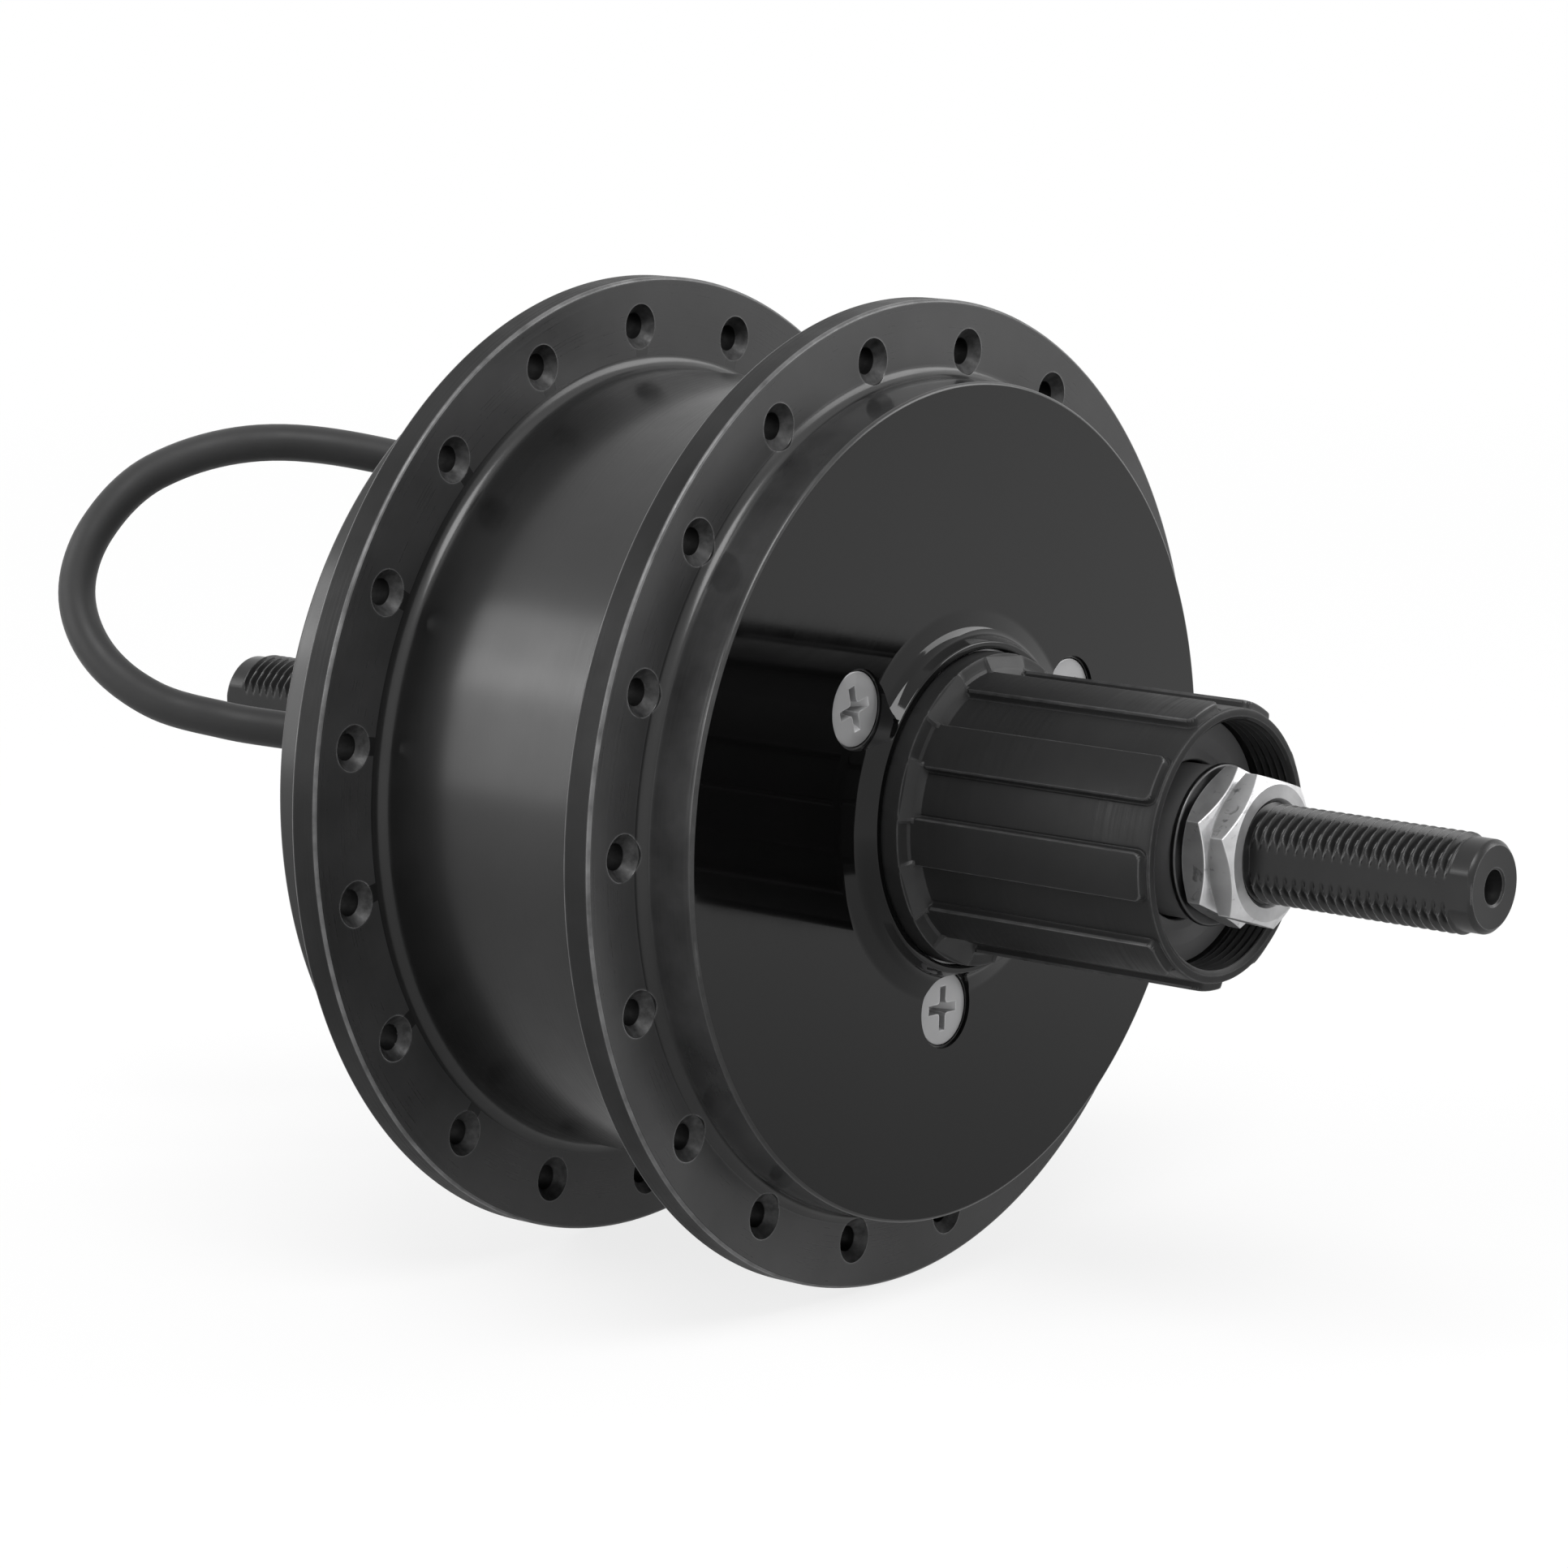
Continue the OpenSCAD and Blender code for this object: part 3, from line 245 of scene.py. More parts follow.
# ---------------------------------------------------------------- materials


class Tree:
    """Short calls to build one material's nodes."""

    def __init__(self, name):
        self.material = bpy.data.materials.new(name)
        self.material.use_nodes = True
        self.nodes = self.material.node_tree.nodes
        self.links = self.material.node_tree.links
        self.shader = self.nodes["Principled BSDF"]

    def link(self, source, target):
        self.links.new(source, target)

    def math(self, operation, a, b=0.0, c=0.0, clamp=False):
        node = self.nodes.new("ShaderNodeMath")
        node.operation = operation
        node.use_clamp = clamp
        for socket, value in zip(node.inputs, (a, b, c)):
            if isinstance(value, (int, float)):
                socket.default_value = value
            else:
                self.links.new(value, socket)
        return node.outputs[0]

    def ramp(self, value, low, high, to_low=0.0, to_high=1.0):
        node = self.nodes.new("ShaderNodeMapRange")
        node.clamp = True
        self.links.new(value, node.inputs[0])
        for socket, number in zip(list(node.inputs)[1:5], (low, high, to_low, to_high)):
            socket.default_value = number
        return node.outputs[0]

    def mix(self, share, a, b):
        node = self.nodes.new("ShaderNodeMix")
        node.data_type = "RGBA"
        for socket, value in ((node.inputs[0], share), (node.inputs[6], a), (node.inputs[7], b)):
            if isinstance(value, (int, float)):
                socket.default_value = value
            elif isinstance(value, tuple):
                socket.default_value = (*value, 1)
            else:
                self.links.new(value, socket)
        return node.outputs[2]

    def noise(self, scale, detail=3.0, rough=0.5, vector=None, w=None, distortion=0.0):
        node = self.nodes.new("ShaderNodeTexNoise")
        if w is not None:
            node.noise_dimensions = "1D"
            self.links.new(w, node.inputs["W"])
        else:
            self.links.new(vector or self.place(), node.inputs["Vector"])
        node.inputs["Scale"].default_value = scale
        node.inputs["Detail"].default_value = detail
        node.inputs["Roughness"].default_value = rough
        node.inputs["Distortion"].default_value = distortion
        return node.outputs["Fac"]

    def place(self):
        if not hasattr(self, "_place"):
            self._place = self.nodes.new("ShaderNodeTexCoord").outputs["Object"]
        return self._place

    def turning(self):
        """Radius plus distance along the axle: it changes across the marks of a lathe tool."""
        if not hasattr(self, "_turning"):
            parts = self.nodes.new("ShaderNodeSeparateXYZ")
            self.links.new(self.place(), parts.inputs[0])
            x, y, z = parts.outputs
            square = self.math("ADD", self.math("MULTIPLY", x, x), self.math("MULTIPLY", z, z))
            self._turning = self.math("ADD", self.math("SQRT", square), y)
        return self._turning

    def edges(self, radius):
        """1 along convex edges and 0 on flat faces."""
        bevel = self.nodes.new("ShaderNodeBevel")
        bevel.samples = 4
        bevel.inputs["Radius"].default_value = radius
        geometry = self.nodes.new("ShaderNodeNewGeometry")
        dot = self.nodes.new("ShaderNodeVectorMath")
        dot.operation = "DOT_PRODUCT"
        self.links.new(bevel.outputs[0], dot.inputs[0])
        self.links.new(geometry.outputs["Normal"], dot.inputs[1])
        bent = self.ramp(dot.outputs["Value"], 0.999, 0.94)
        convex = self.ramp(geometry.outputs["Pointiness"], 0.5, 0.53)
        return self.math("MULTIPLY", bent, self.math("MAXIMUM", convex, 0.35))


def surface(name, colour, metallic=0.0, roughness=0.4, spread=0.12, grain=900.0, grain_depth=0.0,
            lines=0.0, lines_depth=0.0, wear_and_highlight=0.0, wear_and_highlight_colour=None, wear_and_highlight_radius=0.4, scuff=0.0,
            scuff_scale=210.0, scuff_colour=None, specular=0.5, coat=0.0, coat_roughness=0.1, sheen=0.0,
            blotch=60.0):
    """A procedural finish: colour and roughness vary, lines and grain are in the bump, edges are paler with
    wear and, on the anodised, freehub and axle finishes, a painted highlight.
    """
    t = Tree(name)
    dark = tuple(c * (1 - spread) for c in colour)
    light = tuple(min(1.0, c * (1 + spread)) for c in colour)
    shade_of = t.mix(t.ramp(t.noise(blotch, 4.0, 0.55), 0.3, 0.7), dark, light)
    rough = t.ramp(t.noise(blotch * 2.3, 5.0, 0.6), 0.3, 0.7, roughness * 0.85, min(1.0, roughness * 1.18))
    height = None
    if lines:
        marks = t.noise(lines, 2.0, 0.7, w=t.turning())
        shade_of = t.mix(t.ramp(marks, 0.35, 0.75, 0.0, 0.2), shade_of, light)
        rough = t.math("ADD", rough, t.ramp(marks, 0.3, 0.7, -0.12 * roughness, 0.12 * roughness))
        height = t.math("MULTIPLY", marks, lines_depth * UM)
    if grain_depth:
        grains = t.math("MULTIPLY", t.noise(grain, 3.0, 0.6), grain_depth * UM)
        height = t.math("ADD", height, grains) if height is not None else grains
    if scuff:
        patches = t.ramp(t.noise(scuff_scale, 5.0, 0.6, distortion=0.8), 0.58, 0.68, 0.0, scuff)
        shade_of = t.mix(patches, shade_of, scuff_colour)
        rough = t.math("ADD", rough, t.math("MULTIPLY", patches, 0.2))
    # Paler convex edges: edge wear, and on the anodised, freehub and axle finishes also a painted highlight
    # along the edges
    if wear_and_highlight:
        corners = t.edges(wear_and_highlight_radius * MM)
        uneven = t.ramp(t.noise(700.0, 4.0, 0.65), 0.3, 0.65, 0.35, 1.0)
        mask = t.math("MULTIPLY", t.math("MULTIPLY", corners, uneven), wear_and_highlight)
        shade_of = t.mix(mask, shade_of, wear_and_highlight_colour)
    t.link(shade_of, t.shader.inputs["Base Color"])
    t.link(t.math("MAXIMUM", rough, 0.02), t.shader.inputs["Roughness"])
    if height is not None:
        bump = t.nodes.new("ShaderNodeBump")
        bump.inputs["Strength"].default_value = 1.0
        bump.inputs["Distance"].default_value = 1.0
        t.link(height, bump.inputs["Height"])
        t.link(bump.outputs[0], t.shader.inputs["Normal"])
    t.shader.inputs["Metallic"].default_value = metallic
    t.shader.inputs["Specular IOR Level"].default_value = specular
    t.shader.inputs["Coat Weight"].default_value = coat
    t.shader.inputs["Coat Roughness"].default_value = coat_roughness
    t.shader.inputs["Sheen Weight"].default_value = sheen
    return t.material


def grey(value):
    return value, value, value * 1.01


# lines_depth and grain_depth are in micrometres, and the radius of the paler edges (edge wear and painted
# highlight) in millimetres;
# lines, grain, blotch and scuff_scale are noise scales per metre
FINISHES = {
    "anodised_black": dict(colour=grey(0.007), roughness=0.42, spread=0.3, specular=0.2, coat=0.6,
                           coat_roughness=0.2, lines=2600.0, lines_depth=2.2, grain=2400.0, grain_depth=1.2,
                           wear_and_highlight=0.8, wear_and_highlight_colour=grey(0.18)),
    "anodised_wall": dict(colour=grey(0.03), roughness=0.16, spread=0.3, blotch=150.0, specular=0.45,
                          lines=2600.0, lines_depth=3.0, grain=2400.0, grain_depth=0.5),
    # Paler rounded rim corners: edge wear and a painted highlight
    "anodised_edge_worn_and_painted_highlight": dict(colour=grey(0.1), metallic=0.3, roughness=0.4, spread=0.5, blotch=300.0,
                          lines=2600.0, lines_depth=3.0),
    # Flange faces paler than the rest of the anodising: a painted sheen that stands in for their reflection
    "anodised_face_painted_sheen": dict(colour=grey(0.03), roughness=0.32, spread=0.3, specular=0.45, lines=2800.0,
                          lines_depth=5.0, grain=2400.0, grain_depth=1.5, wear_and_highlight=0.9, wear_and_highlight_colour=grey(0.22)),
    "anodised_rim": dict(colour=grey(0.014), roughness=0.45, spread=0.4, specular=0.11, lines=3200.0,
                         lines_depth=5.0, grain=2400.0, grain_depth=2.0, wear_and_highlight=1.0, wear_and_highlight_colour=grey(0.3)),
    "countersink": dict(colour=grey(0.034), metallic=0.2, roughness=0.45, spread=0.55, blotch=1100.0,
                        specular=0.3, grain=1500.0, grain_depth=8.0),
    # Near black inside the bores and spoke holes: painted shade
    "bore_painted_shade": dict(colour=grey(0.003), roughness=0.6, spread=0.4, blotch=600.0, specular=0.08),
    "anodised_disc": dict(colour=grey(0.0015), roughness=0.06, spread=0.15, specular=0.3, lines=2200.0,
                          lines_depth=0.2, grain=3000.0, grain_depth=0.3),
    "freehub_black": dict(colour=grey(0.014), roughness=0.46, spread=0.2, specular=0.17, lines=1500.0,
                          lines_depth=3.0, grain=2200.0, grain_depth=4.0, wear_and_highlight=0.7, wear_and_highlight_colour=grey(0.1),
                          wear_and_highlight_radius=0.3),
    # Paler copies of the freehub finish for the shoulder facets and the ridge flanks: painted highlights
    "freehub_facet_painted_highlight": dict(colour=grey(0.026), roughness=0.38, spread=0.35, specular=0.2, lines=1500.0,
                          lines_depth=3.0, grain=2200.0, grain_depth=6.0),
    "freehub_ridge_painted_highlight": dict(colour=grey(0.05), metallic=0.2, roughness=0.38, spread=0.4, blotch=300.0,
                         specular=0.35, lines=1500.0, lines_depth=2.0),
    "axle_black": dict(colour=grey(0.012), roughness=0.3, spread=0.3, specular=0.3, grain=2500.0,
                       grain_depth=4.0, wear_and_highlight=0.8, wear_and_highlight_colour=grey(0.16), wear_and_highlight_radius=0.2),
    "zinc": dict(colour=grey(0.32), metallic=0.75, roughness=0.42, spread=0.16, blotch=180.0, grain=1600.0,
                 grain_depth=5.0, wear_and_highlight=0.8, wear_and_highlight_colour=grey(0.7), wear_and_highlight_radius=0.35, scuff=0.8,
                 scuff_scale=520.0, scuff_colour=grey(0.05)),
    # Paler copies of zinc for the nuts' chamfers and faces: painted highlight and painted light
    "zinc_chamfer_painted_highlight": dict(colour=grey(0.62), metallic=0.8, roughness=0.4, spread=0.12, blotch=400.0,
                        grain=1600.0, grain_depth=5.0, scuff=0.5, scuff_scale=900.0,
                        scuff_colour=grey(0.2)),
    "zinc_face_painted_light": dict(colour=grey(0.48), metallic=0.75, roughness=0.42, spread=0.14, blotch=260.0,
                      lines=1800.0, lines_depth=4.0, grain=1600.0, grain_depth=5.0),
    "zinc_matt": dict(colour=grey(0.38), metallic=0.7, roughness=0.46, spread=0.12, grain=1600.0,
                      grain_depth=4.0, wear_and_highlight=0.9, wear_and_highlight_colour=grey(0.75), wear_and_highlight_radius=0.25),
    "dark_steel": dict(colour=grey(0.07), metallic=1.0, roughness=0.38, lines=2200.0, lines_depth=4.0,
                       wear_and_highlight=0.5, wear_and_highlight_colour=grey(0.25)),
    "plain_steel": dict(colour=grey(0.42), metallic=1.0, roughness=0.36, lines=1800.0, lines_depth=4.0,
                        wear_and_highlight=0.5, wear_and_highlight_colour=grey(0.7)),
    "bearing_steel": dict(colour=grey(0.58), metallic=1.0, roughness=0.2, lines=2600.0, lines_depth=2.0,
                          wear_and_highlight=0.4, wear_and_highlight_colour=grey(0.8)),
    "lamination": dict(colour=grey(0.28), metallic=1.0, roughness=0.45, spread=0.2, lines=1900.0,
                       lines_depth=20.0),
    "cast_aluminium": dict(colour=grey(0.55), metallic=1.0, roughness=0.5, grain=1100.0, grain_depth=20.0,
                           wear_and_highlight=0.5, wear_and_highlight_colour=grey(0.75)),
    "copper": dict(colour=(0.62, 0.24, 0.1), metallic=1.0, roughness=0.3, spread=0.2, lines=1300.0,
                   lines_depth=60.0),
    "nickel": dict(colour=(0.6, 0.58, 0.53), metallic=1.0, roughness=0.22, grain=1500.0, grain_depth=3.0,
                   wear_and_highlight=0.6, wear_and_highlight_colour=(0.8, 0.78, 0.72)),
    "nylon": dict(colour=(0.66, 0.63, 0.54), roughness=0.42, spread=0.08, grain=1300.0, grain_depth=8.0),
    "brass": dict(colour=(0.7, 0.46, 0.16), metallic=1.0, roughness=0.26, lines=2000.0, lines_depth=3.0,
                  wear_and_highlight=0.5, wear_and_highlight_colour=(0.85, 0.65, 0.3)),
    "board": dict(colour=(0.014, 0.1, 0.045), roughness=0.35, spread=0.2, coat=0.4, grain=900.0,
                  grain_depth=10.0),
    "black_plastic": dict(colour=grey(0.018), roughness=0.42, grain=2000.0, grain_depth=10.0, wear_and_highlight=0.4,
                          wear_and_highlight_colour=grey(0.07)),
    "black_rubber": dict(colour=grey(0.02), roughness=0.62, spread=0.2, specular=0.2, grain=1700.0,
                         grain_depth=14.0),
    # Lighter than the seal's rubber and the spacer's black plastic: painted light on parts that sit in shade
    # in the freehub mouth
    "grey_rubber": dict(colour=grey(0.12), roughness=0.55, spread=0.15, specular=0.25, grain=1700.0,
                        grain_depth=12.0),
    "cable_jacket": dict(colour=grey(0.026), roughness=0.5, spread=0.18, specular=0.22, sheen=0.05,
                         grain=1900.0, grain_depth=10.0),
}
MATERIALS = {name: surface(name, **finish) for name, finish in FINISHES.items()}


def dress(obj, body, slot, *nodes, material=None):
    """A finished piece: its material, named by the slot unless another is given, the body that it rides on,
    and the CAD nodes that it stands for, which are hidden.
    """
    obj.data.materials.clear()
    obj.data.materials.append(MATERIALS[material or slot])
    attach(obj, body)
    if nodes:
        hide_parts(*nodes)
    return obj


def where(face):
    """A face's station and radius in millimetres, and how far it faces along the axle, from 0 to 1."""
    z, r = -face.center.y / MM, math.hypot(face.center.x, face.center.z) / MM
    return z, r, abs(face.normal.y)


def finish_faces(obj, finishes, chosen):
    """Gives each face the finish that chosen(face) names, of which the first is the piece's own."""
    for finish in finishes[1:]:
        obj.data.materials.append(MATERIALS[finish])
    for face in obj.data.polygons:
        face.material_index = finishes.index(chosen(face))


# ---------------------------------------------------------------- cable and plug

CABLE_D = 4.9
GROMMET_TIP = 27.871
GROMMET_MOUTH = 23.371
GROMMET_SEAT = 13.871
SOCKET = 3.0


def on_outlet(length):
    a = math.radians(OUTLET_A)
    return Vector((-length * math.sin(a), Z_CROSS + length * math.cos(a), 0))


ROUTE = [on_outlet(GROMMET_TIP + 1)] + [Vector(p) for p in (
    (-18.2, 73, 0.7), (-23, 80, 2), (-27.5, 89, 4.5), (-29.5, 97, 10), (-28.5, 101.5, 17.5),
    (-24.5, 101.5, 25.5), (-17, 98, 32.5), (-6.5, 89, 36), (5, 77, 34), (15, 67.5, 29),
    (24, 60, 21), (31, 56, 11), (35, 54, 0), (36, 54, -10))]
ROUTE_STEPS = 10


def tangent(i):
    if i == 0:
        return on_outlet(1) - on_outlet(0)
    if i == len(ROUTE) - 1:
        return Vector((0, 0, -1))
    return (ROUTE[i + 1] - ROUTE[i - 1]).normalized()


def hermite(i, t):
    a, b = ROUTE[i], ROUTE[i + 1]
    reach = (b - a).length
    return ((2 * t ** 3 - 3 * t * t + 1) * a + (t ** 3 - 2 * t * t + t) * reach * tangent(i)
            + (3 * t * t - 2 * t ** 3) * b + (t ** 3 - t * t) * reach * tangent(i + 1))


cable_line = [on_outlet(GROMMET_TIP - SOCKET)]
cable_line += [hermite(i, s / ROUTE_STEPS) for i in range(len(ROUTE) - 1) for s in range(ROUTE_STEPS)]
cable_line.append(ROUTE[-1])
cable_curve = bpy.data.curves.new("cable_jacket", "CURVE")
cable_curve.dimensions = "3D"
cable_curve.bevel_depth = CABLE_D / 2 * MM
cable_curve.bevel_resolution = 7
cable_curve.use_fill_caps = True
spline = cable_curve.splines.new("POLY")
spline.points.add(len(cable_line) - 1)
for point, at in zip(spline.points, cable_line):
    point.co = (*(at * MM), 1)
spline.use_smooth = True
cable = bpy.data.objects.new("cable_jacket", cable_curve)
scene.collection.objects.link(cable)
dress(cable, "axle", "cable_jacket", "cable")

PLUG = Matrix.Translation(ROUTE[-1]) @ Matrix.Rotation(math.radians(180), 4, "X")
PLUG_L = 40
Z_SLEEVE = 24

plug_body = turned("plug_grip", rounded(
    [(0.0, 0, 0), (3.45, 0, 0.5), (5.4, 12, 1.5)]
    + [p for k in range(5) for p in ((5.4, 13.6 + 2 * k, 0.15), (4.9, 13.75 + 2 * k, 0.15),
                                     (4.9, 14.45 + 2 * k, 0.15), (5.4, 14.6 + 2 * k, 0.15))]
    + [(5.4, Z_SLEEVE, 0.2), (4.5, Z_SLEEVE, 0), (4.5, 31, 0.2), (0.0, 31, 0)]),
    closed=False, segs=96, matrix=PLUG)
dress(shade(plug_body), "axle", "black_rubber", "plug_body")

sleeve_outline = rounded([(4.55, 24.1, 0.15), (6.2, 24.1, 0.4), (6.2, 26.4, 0.2), (6.0, 26.6, 0.1),
                          (6.0, 38, 0.1), (6.2, 38.2, 0.2), (6.2, PLUG_L, 0.4), (4.55, PLUG_L, 0.3)])
plug_sleeve = turned("plug_collar", sleeve_outline, segs=144, matrix=PLUG)
knurls = [prism("rib", [polar(6.35, a - 1.6), polar(6.35, a + 1.6), polar(5.85, a)], 27.2, 37.4, PLUG)
          for a in range(0, 360, 9)]
carve(plug_sleeve, knurls)
dress(shade(plug_sleeve), "axle", "black_plastic", "plug_sleeve")

grommet = turned("cable_boot", rounded(
    [(0.0, GROMMET_SEAT + 0.02, 0), (3.38, GROMMET_SEAT + 0.02, 0), (3.38, GROMMET_MOUTH - 0.6, 0.3)]
    + [p for k in range(3) for p in ((3.3 - 0.06 * k, GROMMET_MOUTH + 0.2 + 1.2 * k, 0.15),
                                     (2.95 - 0.05 * k, GROMMET_MOUTH + 0.5 + 1.2 * k, 0.15),
                                     (2.95 - 0.05 * k, GROMMET_MOUTH + 0.8 + 1.2 * k, 0.15),
                                     (3.28 - 0.06 * k, GROMMET_MOUTH + 1.1 + 1.2 * k, 0.15))]
    + [(3.07, GROMMET_TIP, 0.2), (2.47, GROMMET_TIP, 0.15), (2.47, GROMMET_TIP - SOCKET, 0),
       (0.0, GROMMET_TIP - SOCKET, 0)]), closed=False, segs=96, matrix=OUTLET)
dress(shade(grommet), "axle", "black_rubber", "cable_grommet")


# ---------------------------------------------------------------- hub shell

shell_outline = rounded([
    (19.45, Z_BOSS, 0.2), (20.4, Z_BOSS, 0.3), (21.2, Z_DISC + 0.75, 1.8), (24.0, Z_DISC, 2.5),
    (DISC_R, Z_DISC, 0.5), (DISC_R, Z_DRIVE_FLANGE, 1.6), (FLANGE_R, Z_DRIVE_FLANGE, 0.5),
    (FLANGE_R, Z_DRIVE_FLANGE - FLANGE_T, 0.3), (BARREL_R, Z_DRIVE_FLANGE - FLANGE_T, 1.75),
    (BARREL_R, Z_DRIVE_FLANGE - FLANGE_T - 2.3, 0), (BARREL_R, Z_CABLE_FLANGE + 2.3, 0),
    (BARREL_R, Z_CABLE_FLANGE, 1.75), (FLANGE_R, Z_CABLE_FLANGE, 0.5),
    (FLANGE_R, Z_CABLE_FLANGE - FLANGE_T, 0.3), (COVER_R, Z_CABLE_FLANGE - FLANGE_T, 1.0),
    (COVER_R, Z_COLLAR, 0.2),
    (47, Z_COLLAR, 0), (47, 1.86, 0), (45.2, 1.86, 0), (45.2, 18.46, 2), (19.45, 18.46, 0)], step=9)
shell = turned("shell_turned", shell_outline)

SPOKE_R = 1.6
SPOKE_SINK = 1.25
SPOKE_CIRCLE = 55.2
COVER_HEAD_R = 2.7
COVER_SCREW_R = 1.5
COVER_CIRCLE = 50.1
DRIVE_SCREW_R = 2.5
DRIVE_HEAD_R = 4.65
DRIVE_CIRCLE = 25.3
DRIVE_FIRST = 24.1
Z_DRIVE_HEAD = Z_DISC - 0.5


def spoke_tools(z_face, first):
    tool = turned("tool", [(0, CUT), (SPOKE_R + SPOKE_SINK, CUT), (SPOKE_R + SPOKE_SINK, 0.03),
                           (SPOKE_R + SPOKE_SINK - 0.03, -0.03), (SPOKE_R + 0.05, 0.05 - SPOKE_SINK),
                           (SPOKE_R, -SPOKE_SINK - 0.05), (SPOKE_R, -FLANGE_T - CUT), (0, -FLANGE_T - CUT)],
                  closed=False, segs=48, matrix=Matrix())
    return copies(tool, [LAY @ Matrix.Translation((0, 0, z_face)) @ m
                         for m in around(18, SPOKE_CIRCLE, first)])


def sink_tools(count, circle, first, z_top, head_r, thread_r, through, mouth, flip=False):
    tool = turned("tool", [(0, mouth), (head_r + 0.3, mouth), (head_r + 0.3, 0.0), (head_r + 0.05, 0.0),
                           (head_r + 0.05, -0.35), (thread_r + 0.1, -0.3 - (head_r - thread_r)),
                           (thread_r + 0.1, -through), (0, -through)], closed=False, segs=64, matrix=Matrix())
    turn = Matrix.Rotation(math.radians(180), 4, "X") if flip else Matrix()
    return copies(tool, [LAY @ Matrix.Translation((0, 0, z_top)) @ m @ turn
                         for m in around(count, circle, first)])


def drill_tools(count, circle, first, z0, z1, radius, segs=48):
    tool = prism("tool", [polar(radius, 360 * k / segs) for k in range(segs)], z0, z1, Matrix())
    return copies(tool, [LAY @ m for m in around(count, circle, first)])


carve(shell, spoke_tools(Z_DRIVE_FLANGE, 18.3) + spoke_tools(Z_CABLE_FLANGE, 10.3)
      + sink_tools(3, DRIVE_CIRCLE, DRIVE_FIRST, Z_DRIVE_HEAD, DRIVE_HEAD_R, DRIVE_SCREW_R, 4.5, 4)
      + drill_tools(8, COVER_CIRCLE, 0, Z_COVER - 0.1, Z_COVER + 9.8, 1.52, 32))
shade(shell)
dress(shell, "shell", "anodised_black", "hub_shell")


def shell_finish(face):
    """Polished drive face, dull bores darkened by painted shade, dull rims, edges paler with wear and a
    painted highlight, flange faces paler with a painted sheen, paler countersinks, and satin black elsewhere.
    """
    z, r, flat = where(face)
    if z > Z_DISC - 0.02 and (flat > 0.99 or r < 30):
        return "anodised_disc"
    # The boss bore is near black: painted shade
    if z > Z_DISC - 4 and r < 31 and flat < 0.5:
        return "bore_painted_shade"
    if flat < 0.01 and r > FLANGE_R - 0.25:
        return "anodised_rim"
    # Rounded rim corners: paler, edge wear and a painted highlight
    if 0.1 < flat < 0.95 and r > FLANGE_R - 0.55:
        return "anodised_edge_worn_and_painted_highlight"
    if flat < 0.3 and abs(r - DISC_R) < 0.1:
        return "anodised_wall"
    # Flange faces take the paler copy: a painted sheen
    if flat > 0.99 and r > 52.5 and min(abs(z - Z_DRIVE_FLANGE), abs(z - Z_CABLE_FLANGE)) < 0.02:
        return "anodised_face_painted_sheen"
    # Spoke-hole walls below the countersink are near black: painted shade
    in_hole = abs(r - SPOKE_CIRCLE) < SPOKE_R + SPOKE_SINK + 0.1 and flat < 0.9
    for z_face in (Z_DRIVE_FLANGE, Z_CABLE_FLANGE):
        if in_hole and z_face - FLANGE_T + 0.01 < z < z_face - 0.01:
            return "countersink" if z > z_face - SPOKE_SINK else "bore_painted_shade"
    return "anodised_black"


finish_faces(shell, ("anodised_black", "anodised_disc", "anodised_rim", "countersink", "bore_painted_shade",
                     "anodised_face_painted_sheen", "anodised_wall", "anodised_edge_worn_and_painted_highlight"), shell_finish)


# ---------------------------------------------------------------- cover of the cable side

cover_outline = rounded([
    (COVER_R, Z_COLLAR - 0.02, 0.2), (COVER_R, Z_COVER, 0.5), (47.2, Z_COVER, 1.5), (29.5, Z_COVER - 2.6, 0),
    (29.4, Z_COVER - 2.61, 1.9), (27, Z_COVER - 5.1, 0), (27, Z_ROTOR_FACE, 0.5), (17.45, Z_ROTOR_FACE, 0.15),
    (17.45, -54.2, 0.5), (14.5, -54.2, 0.15), (14.5, -50.0, 0), (13.5, -50.0, 0), (13.5, -49.0, 0),
    (16, -49.0, 0), (16, -39.5, 0), (45.1, -39.5, 0), (45.1, -34.0, 0), (46.95, -34.0, 0),
    (46.95, Z_COLLAR - 0.02, 0)])
cover = turned("cover_turned", cover_outline)
carve(cover, drill_tools(6, 22, 0, Z_ROTOR_FACE - CUT, Z_ROTOR_FACE + 8, 2.1)
      + sink_tools(8, COVER_CIRCLE, 0, Z_COVER, COVER_HEAD_R, COVER_SCREW_R, 6, CUT, flip=True))
dress(shade(cover), "shell", "anodised_black", "cable_cover")


# ---------------------------------------------------------------- screws


def cross_tool(head_r):
    """A cross recess: four tapered wings that meet in rounded inner corners."""
    def outline(reach, wide):
        inner = wide * 1.55
        points = []
        for k in range(4):
            spin = Matrix.Rotation(math.radians(90 * k), 2)
            wing = [(reach, -wide), (reach, wide), (inner + 0.3 * wide, wide), (wide * 1.2, wide * 1.2),
                    (wide, inner + 0.3 * wide)]
            points += [tuple(spin @ Vector(corner)) for corner in wing]
        return points
    wide = head_r * 0.125
    return prism("tool", outline(head_r * 0.26, wide * 0.75), -head_r * 0.5, 0.0, Matrix(),
                 top=outline(head_r * 0.6, wide))


def screws(name, head_r, thread_r, length, places):
    out = []
    for at in places:
        head = turned("screw", rounded([
            (0.0, 0.0, 0), (head_r - 0.06, 0.0, 0.22), (head_r, -0.3, 0.08),
            (thread_r, -0.3 - (head_r - thread_r), 0.1), (thread_r, 0.5 - length, 0),
            (thread_r - 0.5, -length, 0), (0.0, -length, 0)]), closed=False, segs=96, matrix=Matrix())
        recess = cross_tool(head_r)
        recess.data.transform(Matrix.Translation((0, 0, 0.00002)))
        carve(head, [recess])
        out.append(place(head, at))
    return shade(joined(name, out), 25)


